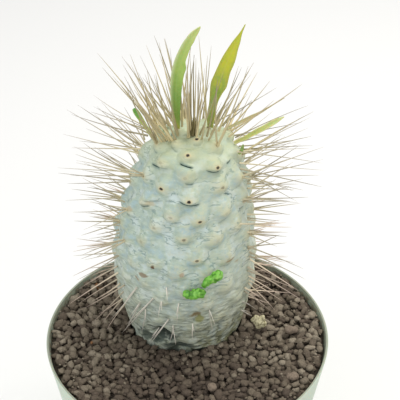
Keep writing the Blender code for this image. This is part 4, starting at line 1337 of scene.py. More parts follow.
    def placed(self, rows: Sequence[tuple[float, float, float, float]]) -> list[Spine]:
        """Spines where the photograph shows them against the sides.

        Args:
            rows: Angle in degrees and height of each foot, and how far to the right and up from it
                the point lies, in millimetres.

        Returns:
            The spines, each with its own depth, and some with a finer one beside it.
        """
        spines = []
        for angle, height, across, rise in rows:
            foot = bark_point(math.radians(angle), height * MM, -0.5 * MM)
            size = math.hypot(across, rise)
            reach = Vector((across, self.chance.uniform(-0.25, 0.25) * size, rise)) * MM
            spines.append(self.grow(foot, self.over_soil(foot + reach), self.lower_radius))
            if self.chance.random() < self.beside_share:
                beside = Vector((0.0, self.chance.uniform(-0.3, 0.3), self.chance.uniform(-0.2, 0.2))) * size * MM
                shorter = foot + (reach + beside) * self.chance.uniform(0.5, 0.85)
                spines.append(self.grow(foot, self.over_soil(shorter), self.front_radius))
        return spines

    def over_soil(self, tip: Vector) -> Vector:
        """A point that is kept above the grit."""
        return Vector((tip.x, tip.y, max(tip.z, SOIL_TOP + 1.6 * MM)))

    def build_front(self) -> bpy.types.Object:
        """Fine pale spines that hang down the front of the foot, where the photograph shows them."""
        spines = []
        for angle, height, tip_angle, tip_height, out in FRONT_SPINES:
            foot = bark_point(math.radians(angle), height * MM, -0.5 * MM)
            tip = bark_point(math.radians(tip_angle), tip_height * MM, out * MM)
            spines.append(self.grow(foot, tip, self.front_radius * (1.5 if out > 6.0 else 1.0)))
            beside = tip + Vector((self.chance.uniform(-2.0, 2.0), 0.0, self.chance.uniform(0.0, 3.0))) * MM
            spines.append(self.grow(foot, foot.lerp(beside, self.chance.uniform(0.5, 0.9)), self.front_radius))
        return self.piece("lower_spines_front", spines, "front")


# Hanging spines of the front: angle in degrees and height in millimetres of the foot and of the
# point, and how far the point stands off the bark in millimetres.
FRONT_SPINES = (
    (-13, 43.4, -11, 40.0, 3.4), (-17, 36.8, -18, 28.5, 3.8), (-25, 35.4, -52, 7.0, 8.4), (-32, 26.4, -32, 14.8, 5.6),
    (-23, 14.9, -29, 7.6, 5.6), (-13, 23.8, -25, 10.2, 6.9), (-9, 17.5, -11, 12.0, 5.0), (-9, 19.2, -6, 11.6, 5.6),
    (-4, 34.5, -5, 25.0, 4.0), (7, 20.9, 6, 15.4, 4.5), (20, 29.5, 21, 18.0, 4.8), (-40, 38.0, -62, 12.0, 9.0),
    (-36, 31.0, -50, 9.0, 7.0), (56, 23.0, 70, 12.5, 6.0), (60, 15.0, 66, 10.0, 5.0))


# Spines seen against the right and the left side: angle in degrees and height in millimetres of
# the foot, and how far to the right of it and over it the point lies in millimetres.
RIGHT_SPINES = (
    (133, 106, 13, 30), (134, 107, 11.5, 30), (138, 106, 27.7, 17.4), (136, 107, 16.7, 21.6),
    (127, 105, 11, 14.4), (124, 106, 13.2, 14.2), (105, 102, 32, 16.6), (105, 103, 30, 8), (98, 101, 18, 3.1),
    (100, 98, 26.8, 4.6), (100, 96, 31.8, 6.7), (93, 93, 25, 9.6), (76, 101, 32.4, -0.5), (75, 101, 39.2, -8.7),
    (72, 96, 37.7, -3.3), (68, 94, 36, -4.4), (71, 91, 24, -12), (74, 85, 23.3, -2.2), (72, 83, 21.5, -3.9),
    (89, 84, 21, -9.7), (76, 86, 9.9, 7.7), (59, 80, 16.7, 6.1), (59, 81, 20.6, 1.7), (68, 77, 15.7, 1.1),
    (66, 71, 15.3, 1.7), (66, 69, 14, 0.6), (66, 68, 11.8, -2.3), (50, 71, 19, -2.3), (64, 63, 8.4, 0),
    (61, 63, 19.3, -2.3), (63, 53, 14.4, 5.9), (63, 54, 18, 0), (63, 54, 25.7, -9), (63, 51, 26.8, -11),
    (62, 49, 17, -7.3), (66, 45, 23, -14), (62, 40, 23.5, -16), (62, 42, 24.8, -13.7), (62, 37, 15, -8.8),
    (63, 34, 16.7, -14), (64, 31, 13, -16), (58, 31, 7.5, -5.7), (59, 28, 12.7, -12.8), (65, 27, 21, -6.4))
LEFT_SPINES = (
    (-148, 106, 0, 35), (-148, 107, -15, 29.6), (-145, 107, -21.5, 35.8), (-150, 106, -13, 24.4),
    (-130, 107, -12, 23.4), (-102, 102, -6.6, 27.8), (-117, 104, -26.8, 15.2), (-113, 104, -26.4, 14.1),
    (-106, 104, -25, 12.7), (-105, 103, -34, 11), (-95, 99, -25.3, 8.8), (-101, 96, -28.3, 2.8),
    (-94, 98, -31.5, 1.7), (-93, 91, -2.8, 6), (-94, 96, -5, 10.2), (-91, 85, -14.6, 10.6), (-59, 94, -31, 2.2),
    (-94, 82, -22, 1.7), (-94, 75, -15.3, 7.1), (-88, 75, -16.8, 4.4), (-94, 68, -15.6, 4.2), (-93, 76, -8.8, 6.3),
    (-78, 74, -7.7, 5.7), (-82, 68, -13, 5.8), (-82, 66, -10.7, 4.7), (-80, 63, -12.6, 4.7), (-79, 63, -13, 3.5),
    (-74, 62, -10.9, 1.2), (-72, 60, -10.7, 4.1), (-72, 60, -10, -3), (-70, 59, -13.5, -3), (-69, 57, -11, -1.2),
    (-67, 54, -17.6, -6), (-68, 55, -17.5, -5.4), (-69, 48, -21, -4.3), (-69, 46, -20.8, -8), (-63, 49, -22, -19),
    (-70, 39, -19, -14.5), (-68, 36, -23.5, -15), (-72, 30, -18.6, -14), (-66, 30, -14.5, -13.5),
    (-59, 28, -16.3, -19), (-63, 22, -12.7, -14), (-64, 21, -11, -18), (-62, 18, -9.5, -14), (-57, 33, -19.4, -15))


def crown_point(meridian: Meridian, turn: float, reach: float, out: float) -> Vector:
    """A place on the crown at an angle and a distance from the trunk's axis, raised by a height."""
    near = np.argmin(np.abs(meridian.radii[:Meridian.SAMPLES // 4] - reach))
    height = float(meridian.heights[near])
    return trunk_axis(height) + radial(turn) * reach + UP * out


# Lower spines: height above the soil and length in millimetres, and angle over the horizon in degrees.
LOW_HABIT = ((0, 20, -34), (20, 24, -26), (40, 22, -12), (60, 18, 2), (80, 22, 10))


@dataclass
class Leaf:
    """A thin folded blade on the crown. Sizes are in millimetres, steps count from its foot."""

    node: str
    slot: Slot
    finish: LeafFinish
    steps: tuple[tuple[float, float, float], ...]
    width: float
    face: tuple[float, float, float]
    fullest: float = 0.5
    foot_share: float = 0.5
    fold: float = 0.36
    thickness: float = 0.5
    wave: float = 0.06
    # Place along the leaf and the widths left and right of its rib in millimetres, for a leaf of its own outline.
    sides: tuple[tuple[float, float, float], ...] = ()
    columns: int = 10
    rows: int = 46

    def half_width(self, t: float, side: float) -> float:
        """Width on one side of the rib; t runs from the foot to the tip."""
        if self.sides:
            return curve_value(self.sides, t, 1 if side < 0.0 else 2) * MM
        if t < self.fullest:
            share = self.foot_share + (1.0 - self.foot_share) * smooth_step(t / self.fullest)
        else:
            share = max(math.cos((t - self.fullest) / (1.0 - self.fullest) * math.pi / 2), 0.0) ** 0.8
        return max(self.width / 2 * share, 0.12) * MM

    def build(self) -> bpy.types.Object:
        """Bend a flat grid along the leaf's path and fold it about its rib.

        Returns:
            The leaf.
        """
        solid = solid_copy(self.node)
        tip = max((vert.co for vert in solid.verts), key=lambda place: place.z).copy()
        solid.free()
        steps = [Vector(step) * MM for step in self.steps]
        foot = tip - steps[-1] - steps[0].normalized() * 0.9 * MM
        path = [foot] + [tip - steps[-1] + step for step in steps]
        bm = bmesh.new()
        bmesh.ops.create_grid(bm, x_segments=self.columns, y_segments=self.rows, size=1.0)
        bm.verts.ensure_lookup_table()
        share = [(vert.co.x, (vert.co.y + 1.0) / 2) for vert in bm.verts]
        for vert, (side, t) in zip(bm.verts, share):
            vert.co = self.blade_point(path, side, t)
        mesh = mesh_from(bm, self.node + "_blade")
        total = sum((b - a).length for a, b in zip(path, path[1:]))
        set_attribute(mesh, "leaf_across", np.array(share)[:, 0])
        set_attribute(mesh, "leaf_along", np.array(share)[:, 1])
        set_attribute(mesh, "leaf_length", np.array(share)[:, 1] * total)
        leaf = add_piece(mesh, self.finish.material(), [self.node])
        shell = leaf.modifiers.new("thickness", "SOLIDIFY")
        shell.thickness = self.thickness * MM
        shell.offset = 0.0
        smooth = leaf.modifiers.new("smooth", "SUBSURF")
        smooth.levels = smooth.render_levels = 1
        return leaf

    def blade_point(self, path: Sequence[Vector], side: float, t: float) -> Vector:
        """Place of one point of the blade.

        Args:
            path: Four points of the rib's curve.
            side: From -1 at one edge to 1 at the other.
            t: From 0 at the foot to 1 at the tip.

        Returns:
            The point.
        """
        a, b, c, d = path
        s = 1.0 - t
        centre = a * s**3 + b * 3 * s * s * t + c * 3 * s * t * t + d * t**3
        along = ((b - a) * s * s + (c - b) * 2 * s * t + (d - c) * t * t).normalized()
        across = along.cross(Vector(self.face)).normalized()
        up = across.cross(along).normalized()
        width = self.half_width(t, side)
        ripple = self.wave * width * math.sin(t * 19.0 + side) * abs(side)
        return centre + across * (side * width) + up * (abs(side) ** 1.3 * width * self.fold + ripple)


FRONT = (0.0, -1.0, 0.15)
YELLOW_FINISH = LeafFinish("leaf_turning_yellow", ((0.0, "#A4AE70"), (0.15, "#9DB062"), (0.36, "#8FAF4E"),
                                                   (0.5, "#B4BE44"), (0.72, "#C6C830"), (1.0, "#B6C03A")),
                           "#C9C35A", "#ADB24A")
GREEN_FINISH = LeafFinish("leaf_fresh_green", ((0.0, "#BBC25E"), (0.12, "#8BAC4C"), (0.3, "#84AB4E"),
                                               (0.6, "#A9C361"), (0.82, "#B5C66E"), (1.0, "#C3CD7E")),
                          "#A3BE6C", "#CBD6A4", -0.55)
STUB_FINISH = LeafFinish("leaf_cut_back", ((0.0, "#CBBE92"), (0.55, "#C4C088"), (0.7, "#8DB65A"), (1.0, "#58A244")),
                         "#A8B868", "#A8BB66")
BUD_FINISH = LeafFinish("leaf_new_bud", ((0.0, "#A9AE6C"), (0.5, "#8BA45C"), (1.0, "#7A9850")), "#8FA65C", "#8FA65C")
NARROW_FINISH = LeafFinish("leaf_narrow_yellow_green", ((0.0, "#BDBA78"), (0.4, "#B2B95E"), (1.0, "#C6D08C")),
                           "#C4C67E", "#D2D29A")
KHAKI_FINISH = LeafFinish("leaf_dry_khaki", ((0.0, "#BDB98A"), (0.5, "#B9AE80"), (1.0, "#A79E80")),
                          "#CDC093", "#BDB48C", 0.0, 0.6)

LEAVES = (
    Leaf("leaf_long", Slot.GREEN, GREEN_FINISH, ((-0.8, 0.0, 18.0), (-1.2, 0.0, 38.0), (10.8, -1.0, 50.8)), 6.0,
         FRONT, sides=((0.0, 1.3, 1.3), (0.12, 1.7, 1.7), (0.25, 2.3, 2.2), (0.4, 2.7, 2.6), (0.52, 2.9, 2.9),
                       (0.585, 2.8, 3.3), (0.63, 2.7, 2.3), (0.72, 2.3, 2.2), (0.8, 2.1, 2.0), (0.85, 1.8, 2.1),
                       (0.9, 1.6, 1.6), (0.96, 0.8, 1.1), (1.0, 0.12, 0.12))),
    Leaf("leaf_broad", Slot.YELLOW, YELLOW_FINISH, ((0.2, 0.0, 16.0), (6.5, 0.0, 32.0), (14.8, 0.0, 50.8)), 7.4,
         (-0.25, -1.0, 0.15),
         sides=((0.0, 1.3, 1.3), (0.16, 1.9, 1.9), (0.24, 1.8, 1.8), (0.33, 2.4, 2.4), (0.4, 3.1, 3.2),
                (0.46, 3.5, 4.0), (0.52, 3.3, 3.7), (0.6, 3.1, 3.2), (0.68, 2.9, 3.3), (0.74, 2.5, 2.9),
                (0.8, 2.0, 2.1), (0.86, 1.4, 1.6), (0.9, 0.8, 0.9), (0.94, 0.4, 0.45), (1.0, 0.13, 0.13))),
    Leaf("leaf_right_narrow", Slot.YELLOW, NARROW_FINISH, ((7.0, -1.0, 4.5), (13.0, -1.0, 8.5), (21.5, -1.5, 14.5)),
         3.0, (-0.2, -0.7, 0.6), wave=0.3, columns=6,
         sides=((0.0, 0.7, 0.7), (0.2, 1.0, 1.1), (0.5, 1.3, 1.2), (0.75, 1.2, 1.3), (0.9, 0.9, 0.8), (1.0, 0.15, 0.15))),
    Leaf("leaf_right_khaki", Slot.KHAKI, KHAKI_FINISH, ((7.5, 0.0, 4.0), (15.0, 0.0, 8.5), (25.5, 0.0, 16.0)),
         2.4, (-0.3, -0.7, 0.6), columns=6,
         sides=((0.0, 0.7, 0.7), (0.3, 0.8, 0.75), (0.5, 0.6, 0.6), (0.6, 0.3, 0.35), (1.0, 0.12, 0.12))),
    Leaf("leaf_stub", Slot.GREEN, STUB_FINISH, ((-2.2, 0.0, 4.5), (-4.6, 0.0, 9.0), (-7.8, 0.0, 15.0)), 3.4, FRONT,
         0.62, 0.6, rows=24,
         sides=((0.0, 0.8, 0.8), (0.4, 0.9, 0.9), (0.7, 1.3, 1.2), (0.92, 1.35, 1.3), (1.0, 0.9, 0.8))),
    Leaf("leaf_bud_left", Slot.GREEN, BUD_FINISH, ((-0.3, -0.4, 1.6), (-0.7, -0.6, 3.2), (-1.2, -0.8, 5.2)), 1.9,
         FRONT, 0.45, 0.6, columns=6, rows=12),
    Leaf("leaf_bud_right", Slot.GREEN, BUD_FINISH, ((0.8, -0.6, 1.6), (1.2, -0.9, 3.2), (1.4, -1.2, 5.4)), 1.8,
         FRONT, 0.45, 0.6, columns=6, rows=12))


def fused(bm: bmesh.types.BMesh, name: str, voxel: float, rounds: int) -> bpy.types.Mesh:
    """Grow overlapping lobes together into one skin.

    Args:
        bm: The lobes.
        name: Name of the new mesh.
        voxel: Size of the remesh's cells.
        rounds: How often it is smoothed.

    Returns:
        The joined mesh.
    """
    rough = bpy.data.objects.new("lobes", mesh_from(bm, "lobes"))
    bpy.context.scene.collection.objects.link(rough)
    remesh = rough.modifiers.new("skin", "REMESH")
    remesh.mode = "VOXEL"
    remesh.voxel_size = voxel
    relax = rough.modifiers.new("relax", "SMOOTH")
    relax.iterations = rounds
    relax.factor = 0.5
    view = bpy.context.evaluated_depsgraph_get()
    mesh = bpy.data.meshes.new_from_object(rough.evaluated_get(view))
    mesh.name = name
    bpy.data.objects.remove(rough, do_unlink=True)
    return mesh


@dataclass
class Sprout:
    """A fleshy shoot on the trunk's front, a few crowded lobes. Lobes are shares of its half size:
    across, up, out, and the lobe's own size."""

    node: str
    angle: float
    size: tuple[float, float, float]
    turn: float
    lobes: tuple[tuple[float, float, float, float], ...]
    finish: SproutFinish = SproutFinish()

    def build(self) -> bpy.types.Object:
        """Fuse the lobes, ruffle them and set them where the solid is.

        Returns:
            The shoot.
        """
        low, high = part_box(self.node)
        outward = radial(math.radians(self.angle))
        across = Vector((math.cos(math.radians(self.angle)), math.sin(math.radians(self.angle)), 0.0))
        axes = Matrix((across, -outward, UP)).transposed()
        spin = Matrix.Rotation(math.radians(self.turn), 3, "Y")
        half = Vector(self.size) * MM / 2
        bm = bmesh.new()
        for side, rise, out, size in self.lobes:
            spot = spin @ Vector((side * half.x, -out * half.y, rise * half.z))
            place = low.lerp(high, 0.5) + axes @ spot
            bmesh.ops.create_icosphere(bm, subdivisions=3, radius=half.z * size, matrix=Matrix.Translation(place))
        mesh = fused(bm, self.node + "_flesh", 0.26 * MM, 1)
        places = points_of(mesh)
        normals = np.array([vert.normal for vert in mesh.vertices])
        swell = np.array([noise.noise(Vector(place) / (1.6 * MM)) for place in places])
        mesh.vertices.foreach_set("co", (places + normals * (swell * 0.45 * MM)[:, None]).ravel())
        # Painted shade goes where the surface is pushed in.
        set_attribute(mesh, "fold", smooth_steps(-swell * 2.2))
        return add_piece(mesh, self.finish.material(), [self.node], 180.0)


SPROUTS = (
    Sprout("sprout_lower", 8.0, (9.4, 3.8, 6.4), 8.0,
           ((-0.8, 0.06, 0.1, 0.62), (-0.62, -0.3, 0.0, 0.5), (-0.3, -0.16, 0.2, 0.6), (0.08, -0.06, 0.1, 0.7),
            (0.34, 0.36, 0.2, 0.7), (0.64, 0.02, 0.0, 0.62), (0.8, 0.44, 0.0, 0.46), (-0.1, 0.42, 0.0, 0.42))),
    Sprout("sprout_upper", 21.5, (11.0, 4.0, 6.8), -14.0,
           ((-1.16, -0.42, 0.0, 0.38), (-0.9, -0.06, 0.2, 0.52), (-0.74, 0.3, 0.0, 0.42), (-0.46, 0.08, 0.1, 0.6),
            (-0.2, -0.26, 0.0, 0.46), (-0.02, 0.24, 0.2, 0.72), (0.32, 0.4, 0.0, 0.56), (0.36, -0.02, 0.1, 0.52))))


@dataclass
class Lump:
    """A loose stone or flake on the grit, shaped from lobes in shares of its solid's half size."""

    node: str
    slot: Slot
    lobes: tuple[tuple[float, float, float, float], ...]
    seed: float
    roughness: float = 0.35

    def build(self, material: bpy.types.Material) -> bpy.types.Object:
        """Fuse the lobes and roughen them.

        Args:
            material: Its finish.

        Returns:
            The lump.
        """
        low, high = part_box(self.node)
        middle, half = low.lerp(high, 0.5), (high - low) / 2
        bm = bmesh.new()
        for x, y, z, size in self.lobes:
            spot = middle + Vector((x * half.x, y * half.y, z * half.z))
            scale = Matrix.Diagonal((half.x * size, half.y * size, half.z * size, 1.0))
            bmesh.ops.create_icosphere(bm, subdivisions=3, radius=1.0, matrix=Matrix.Translation(spot) @ scale)
        mesh = fused(bm, self.node + "_lump", 0.26 * MM, 2)
        places = points_of(mesh)
        normals = np.array([vert.normal for vert in mesh.vertices])
        shift = Vector((self.seed, 0.0, -self.seed))
        swell = np.array([noise.noise(Vector(place) / (2.4 * MM) + shift)
                          + 0.5 * noise.noise(Vector(place) / (1.0 * MM) + shift) for place in places])
        mesh.vertices.foreach_set("co", (places + normals * (swell * self.roughness * MM)[:, None]).ravel())
        set_attribute(mesh, "grain_tone", np.full(len(places), 0.62))
        return add_piece(mesh, material, [self.node], 180.0)


LUMPS = (
    Lump("husk", Slot.HUSK, ((-0.3, 0.0, 0.0, 0.66), (-1.1, 0.0, 0.4, 0.4), (0.4, 0.0, -0.4, 0.5),
                             (0.3, 0.1, 0.4, 0.46), (-0.5, 0.0, 0.66, 0.4), (-0.2, -0.2, -0.6, 0.46)), 2.0, 0.8),
    Lump("stone_right", Slot.STONE, ((-0.2, 0.0, 0.0, 0.8), (0.3, 0.1, -0.1, 0.68)), 5.0),
    Lump("stone_front_right", Slot.STONE, ((0.15, 0.0, 0.0, 0.8), (-0.3, 0.1, -0.1, 0.66)), 8.0),
    Lump("stone_front", Slot.STONE, ((0.0, 0.0, 0.0, 0.84), (0.2, 0.2, 0.1, 0.62)), 13.0))


@dataclass
class Fill:
    """The gritty fill: a bed in dark painted shade and loose grains on it."""

    seed: int = 41
    shapes: int = 14
    # Hollows in the fill: x, y, reach and depth in millimetres.
    hollows: tuple = ((-30.0, 4.0, 9.0, 3.6), (-36.0, 17.0, 7.0, 2.6), (-22.0, -6.5, 6.0, 2.2), (-11.0, -11.5, 5.0, 1.6))
    # Layers of grains: how deep their middles lie, smallest and largest radius in millimetres, and tries.
    layers: tuple = ((-2.2, 1.6, 2.4, 8000), (-1.0, 1.6, 2.8, 12000), (0.2, 1.5, 2.6, 3800), (0.3, 0.5, 0.9, 1200))
    # The fill lies higher against the wall than round the trunk.
    rise: float = 2.6 * MM
    rise_start: float = 46.0 * MM
    rise_width: float = 18.0 * MM
    grit: GritFinish = GritFinish("porous_brown_grit", ((0.0, "#3A322B"), (0.3, "#4E443B"), (0.5, "#5A4F44"),
                                                        (0.7, "#6C6254"), (0.93, "#8A8070"), (1.0, "#7D5B3E")))
    # The bed's near-black is grit dust darkened as painted shade between the grains.
    deep: GritFinish = GritFinish("grit_dust_painted_shade", ((0.0, "#28221C"), (1.0, "#383026")))
    closeness: float = 0.8

    def level(self, x: float, y: float) -> float:
        """Height of the fill's top at a place."""
        spot = Vector((x, y, 0.0))
        height = SOIL_TOP + 0.8 * MM * noise.noise(spot / (16 * MM)) + 0.35 * MM * noise.noise(spot / (6 * MM))
        height += self.rise * smooth_step((spot.length - self.rise_start) / self.rise_width)
        for hx, hy, reach, depth in self.hollows:
            away = math.hypot(x - hx * MM, y - hy * MM) / (reach * MM)
            height -= depth * MM * smooth_step(1.0 - away)
        return height

    def build_bed(self) -> bpy.types.Object:
        """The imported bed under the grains, round the root and down to the pot's floor."""
        gap = 0.4 * MM
        hole = barrel_radius(0.0) + gap
        edge = wall_radius(SOIL_TOP, RIM_WALL + gap)
        floor = 2.8 * MM + gap
        rings = 16
        outline = [(0.0, SOIL_TOP - ROOT_DEPTH - gap), (0.5 * hole, SOIL_TOP - 0.8 * ROOT_DEPTH),
                   (0.86 * hole, SOIL_TOP - 0.4 * ROOT_DEPTH)]
        tags = [1.0, 1.0, 1.0]
        for ring in range(rings + 1):
            outline.append((hole + (edge - hole) * ring / rings, SOIL_TOP))
            tags.append(1.0 - ring / rings)
        under = RIM_DEPTH - 1.0 * MM
        outline += [(wall_radius(POT_HEIGHT - under, RIM_WALL + gap), POT_HEIGHT - under),
                    (wall_radius(POT_HEIGHT - RIM_DEPTH, POT_WALL + gap), POT_HEIGHT - RIM_DEPTH),
                    (wall_radius(floor, POT_WALL + gap), floor), (0.0, floor)]
        tags += [0.0] * 4
        bm = bmesh.new()
        spin_outline(bm, outline, 120, tags)
        layer = bm.verts.layers.float["tag"]
        for vert in bm.verts:
            on_top = abs(vert.co.z - SOIL_TOP) < 1e-6
            vert.co += Vector((TRUNK_X, TRUNK_Y, 0.0)) * vert[layer]
            if on_top:
                rough = 0.7 * MM * noise.noise(vert.co / (2.5 * MM))
                vert.co.z = self.level(vert.co.x, vert.co.y) - 2.2 * MM + rough
        mesh = mesh_from(bm, "grit_bed")
        set_attribute(mesh, "grain_tone", np.full(len(mesh.vertices), 0.5))
        return add_piece(mesh, self.deep.material(), ["soil_mix"])

    def grain_shapes(self, chance: random.Random) -> list[bpy.types.Mesh]:
        """Rounded, slightly knocked pebble shapes of 24 faces."""
        shapes = []
        for index in range(self.shapes):
            bm = bmesh.new()
            bmesh.ops.create_cube(bm, size=1.4)
            bmesh.ops.subdivide_edges(bm, edges=bm.edges, cuts=1, use_grid_fill=True)
            for vert in bm.verts:
                round_off = vert.co.normalized()
                vert.co = vert.co.lerp(round_off, 0.7) * (1.0 + 0.5 * noise.noise(round_off * 1.4 + UP * index * 7.3))
            stretch = (chance.uniform(1.0, 1.45), chance.uniform(0.85, 1.0), chance.uniform(0.65, 0.9))
            bmesh.ops.scale(bm, vec=stretch, verts=bm.verts)
            shapes.append(mesh_from(bm, "grain_shape"))
        return shapes

    def scatter(self, chance: random.Random) -> list[tuple[float, float, float, float, float]]:
        """Throw grains on the fill so that those of a layer don't crowd.

        Args:
            chance: Source of the random throws.

        Returns:
            Each grain's x, y, z, radius and tone.
        """
        edge = wall_radius(SOIL_TOP, RIM_WALL)
        found = []
        loose = [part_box(lump.node) for lump in LUMPS]
        for depth, small, large, tries in self.layers:
            grid: dict[tuple[int, int], list[tuple[float, float, float]]] = {}
            cell = 2.0 * large * MM
            for _ in range(tries):
                radius = (small + (large - small) * chance.random() ** 1.6) * MM
                turn = chance.uniform(0.0, math.tau)
                reach = (edge - radius * 1.05) * math.sqrt(chance.random())
                x, y = reach * math.cos(turn), reach * math.sin(turn)
                if math.hypot(x - TRUNK_X, y - TRUNK_Y) < barrel_radius(0.0) + radius * 0.3:
                    continue
                if depth > -1.0 and any(low.x < x < high.x and low.y < y < high.y for low, high in loose):
                    continue
                key = (int(x // cell), int(y // cell))
                near = [grain for i in (-1, 0, 1) for j in (-1, 0, 1)
                        for grain in grid.get((key[0] + i, key[1] + j), ())]
                if any(math.hypot(x - a, y - b) < self.closeness * (radius + c) for a, b, c in near):
                    continue
                grid.setdefault(key, []).append((x, y, radius))
                z = self.level(x, y) + depth * MM - radius * 0.35 + chance.uniform(-0.3, 0.3) * MM
                found.append((x, y, z, radius, self.tone(x, y, depth, chance)))
        return found

    def tone(self, x: float, y: float, depth: float, chance: random.Random) -> float:
        """Share along the grit's colours: deep grains darker and grains towards the front darker, both as painted
        shade, a few reddish near the left rim.
        """
        # Painted shade: grains lower in the fill are darker.
        value = 0.4 + 0.14 * depth + chance.gauss(0.06, 0.13) + 0.12 * noise.noise(Vector((x, y, 3.0)) / (18 * MM))
        # Painted shade: grains grow darker towards the front of the pot.
        value += 0.28 * smooth_step((math.hypot(x, y + 55 * MM) - 25 * MM) / (40 * MM))
        odd_share = 0.05 if x < -38 * MM and y > -5 * MM else 0.0
        return 1.0 if chance.random() < odd_share else min(max(value, 0.0), 0.93)

    def build_grains(self) -> bpy.types.Object:
        """Join all grains into one piece.

        Returns:
            The grains.
        """
        chance = random.Random(self.seed)
        shapes = self.grain_shapes(chance)
        grains = self.scatter(chance)
        bm = bmesh.new()
        for x, y, z, radius, _ in grains:
            turned = Matrix.Rotation(chance.uniform(0.0, math.tau), 4, "Z") @ Matrix.Rotation(
                chance.uniform(-0.6, 0.6), 4, "X") @ Matrix.Rotation(chance.uniform(-0.6, 0.6), 4, "Y")
            copy = chance.choice(shapes).copy()
            copy.transform(Matrix.Translation((x, y, z)) @ turned @ Matrix.Scale(radius, 4))
            bm.from_mesh(copy)
            bpy.data.meshes.remove(copy)
        mesh = mesh_from(bm, "loose_grit")
        tones = np.repeat([grain[4] for grain in grains], len(shapes[0].vertices))
        set_attribute(mesh, "grain_tone", tones)
        return add_piece(mesh, self.grit.material(), sharp_angle=75.0)


@dataclass
class Pot:
    """The thin tapered pot with a rounded rim, a flat foot and drain holes."""

    finish: PotFinish = PotFinish()
    floor: float = 2.8 * MM
    rim_round: float = 0.45 * MM
    foot_round: float = 2.0 * MM
    steps: int = 180
    arc_steps: int = 7
    drain_count: int = 6
    drain_radius: float = 4.0 * MM
    drain_circle: float = 36.0 * MM

    def build(self) -> bpy.types.Object:
        """Spin the wall and cut the drain holes.

        Returns:
            The pot.
        """
        rim_out = (wall_radius(POT_HEIGHT) - self.rim_round, POT_HEIGHT - self.rim_round)
        rim_in = (wall_radius(POT_HEIGHT, RIM_WALL) + self.rim_round, POT_HEIGHT - self.rim_round)
        foot = (wall_radius(0.0) - self.foot_round, self.foot_round)
        outline = [(0.0, 0.0)]
        outline += corner_arc(foot, self.foot_round, -90.0, -9.0, self.arc_steps)
        outline += [(wall_radius(POT_HEIGHT * step / 12), POT_HEIGHT * step / 12) for step in range(1, 12)]
        outline += corner_arc(rim_out, self.rim_round, -9.0, 90.0, self.arc_steps)
        outline += corner_arc(rim_in, self.rim_round, 90.0, 171.0, self.arc_steps)
        for drop, wall in ((2.0, RIM_WALL), (4.0, RIM_WALL), (8.0, RIM_WALL), (9.0, POT_WALL), (30.0, POT_WALL)):
            outline.append((wall_radius(POT_HEIGHT - drop * MM, wall), POT_HEIGHT - drop * MM))
        outline += [(wall_radius(self.floor, POT_WALL), self.floor), (0.0, self.floor)]
        bm = bmesh.new()
        spin_outline(bm, outline, self.steps)
        shell = bpy.data.objects.new("shell", mesh_from(bm, "shell"))
        cutter = bpy.data.objects.new("drain_cutter", self.drain_cutter())
        for part in (shell, cutter):
            bpy.context.scene.collection.objects.link(part)
        cut = shell.modifiers.new("drain_holes", "BOOLEAN")
        cut.operation = "DIFFERENCE"
        cut.solver = "EXACT"
        cut.object = cutter
        view = bpy.context.evaluated_depsgraph_get()
        mesh = bpy.data.meshes.new_from_object(shell.evaluated_get(view))
        mesh.name = "pot_shell"
        for part in (shell, cutter):
            bpy.data.objects.remove(part, do_unlink=True)
        places = points_of(mesh)
        radius = np.hypot(places[:, 0], places[:, 1])
        outer = np.array([wall_radius(height) for height in places[:, 2]])
        depth = (POT_HEIGHT - places[:, 2]) / MM
        inner = (outer - radius > 0.9 * RIM_WALL) & (places[:, 2] > self.floor)
        # Where the inner wall gets dust and painted shade, and where the rim's top and inner edge get a painted shade
        # stripe.
        set_attribute(mesh, "inner_wall", np.where(inner, smooth_steps((depth - 0.3) / 2.0), 0.0))
        set_attribute(mesh, "rim_top", np.where(outer - radius > 0.2 * MM, smooth_steps(1.4 - depth), 0.0))
        return add_piece(mesh, self.finish.material(), ["pot"], 40.0)

    def drain_cutter(self) -> bpy.types.Mesh:
        """Round bars where the holes are."""
        bm = bmesh.new()
        for index in range(self.drain_count):
            angle = math.tau * (index + 0.5) / self.drain_count
            spot = (self.drain_circle * math.cos(angle), self.drain_circle * math.sin(angle), self.floor / 2)
            bmesh.ops.create_cone(bm, cap_ends=True, segments=40, radius1=self.drain_radius,
                                  radius2=self.drain_radius, depth=self.floor * 3, matrix=Matrix.Translation(spot))
        return mesh_from(bm, "drain_cutter")


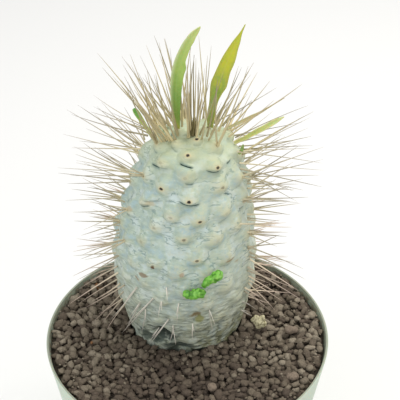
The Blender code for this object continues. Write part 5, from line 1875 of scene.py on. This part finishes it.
@dataclass
class Studio:
    """White board floor, soft light all round, and the camera that took the view."""

    camera_place: tuple[float, float, float] = (0.00622, -0.37383, 0.45831)
    camera_pitch: float = math.radians(90.0 - 34.677)
    lens: float = 90.0
    floor_half: float = 3.0
    sky: float = 0.78
    # Each lamp: name, place, side length in metres, power in watts and colour.
    lamps: tuple = (("key_lamp", (0.35, 0.25, 1.1), 0.9, 9.0, "#FFFDF8"),
                    ("fill_lamp", (-0.7, -0.9, 0.8), 1.2, 4.5, "#F4F9FF"))
    aim: tuple[float, float, float] = (0.0, 0.0, 0.15)

    def build(self) -> None:
        """Set the floor, the light and the camera."""
        scene = bpy.context.scene
        scene.view_settings.view_transform = "Standard"
        bm = bmesh.new()
        bmesh.ops.create_grid(bm, x_segments=8, y_segments=8, size=self.floor_half)
        mesh = mesh_from(bm, "studio_floor")
        mesh.materials.append(FloorFinish().material())
        floor = bpy.data.objects.new("studio_floor", mesh)
        scene.collection.objects.link(floor)
        world = bpy.data.worlds.new("soft_white_room")
        world.use_nodes = True
        world.node_tree.nodes["Background"].inputs["Color"].default_value = linear("#FFFFFF")
        world.node_tree.nodes["Background"].inputs["Strength"].default_value = self.sky
        scene.world = world
        for name, place, size, power, colour in self.lamps:
            light = bpy.data.lights.new(name, "AREA")
            light.shape = "SQUARE"
            light.size = size
            light.energy = power
            light.color = linear(colour)[:3]
            lamp = bpy.data.objects.new(name, light)
            lamp.location = place
            lamp.rotation_euler = (Vector(self.aim) - Vector(place)).to_track_quat("-Z", "Y").to_euler()
            scene.collection.objects.link(lamp)
        lens = bpy.data.cameras.new("camera")
        lens.lens = self.lens
        lens.sensor_width = 36.0
        camera = bpy.data.objects.new("camera", lens)
        camera.location = self.camera_place
        camera.rotation_euler = (self.camera_pitch, 0.0, 0.0)
        scene.collection.objects.link(camera)
        scene.camera = camera


def main() -> None:
    """Build every part of the plant and its pot in order."""
    logging.basicConfig(level=logging.INFO, format="%(name)s %(message)s")
    Studio().build()
    Pot().build()
    fill = Fill()
    fill.build_bed()
    fill.build_grains()
    meridian = Meridian()
    tubercles = place_tubercles(meridian)
    Trunk(meridian, tubercles, place_furrows(meridian, tubercles)).build()
    for leaf in LEAVES:
        leaf.build()
    for sprout in SPROUTS:
        sprout.build()
    finishes = {Slot.HUSK: HuskFinish().material(),
                Slot.STONE: GritFinish("porous_brown_stone", ((0.0, "#4A4038"), (1.0, "#8F8070"))).material()}
    for lump in LUMPS:
        lump.build(finishes[lump.slot])
    spines = Spines(meridian, tubercles)
    feet = spines.build_groups()
    spines.build_young([solid_tree(leaf.node) for leaf in LEAVES])
    spines.build_lower(feet)


if __name__ == "__main__":
    main()
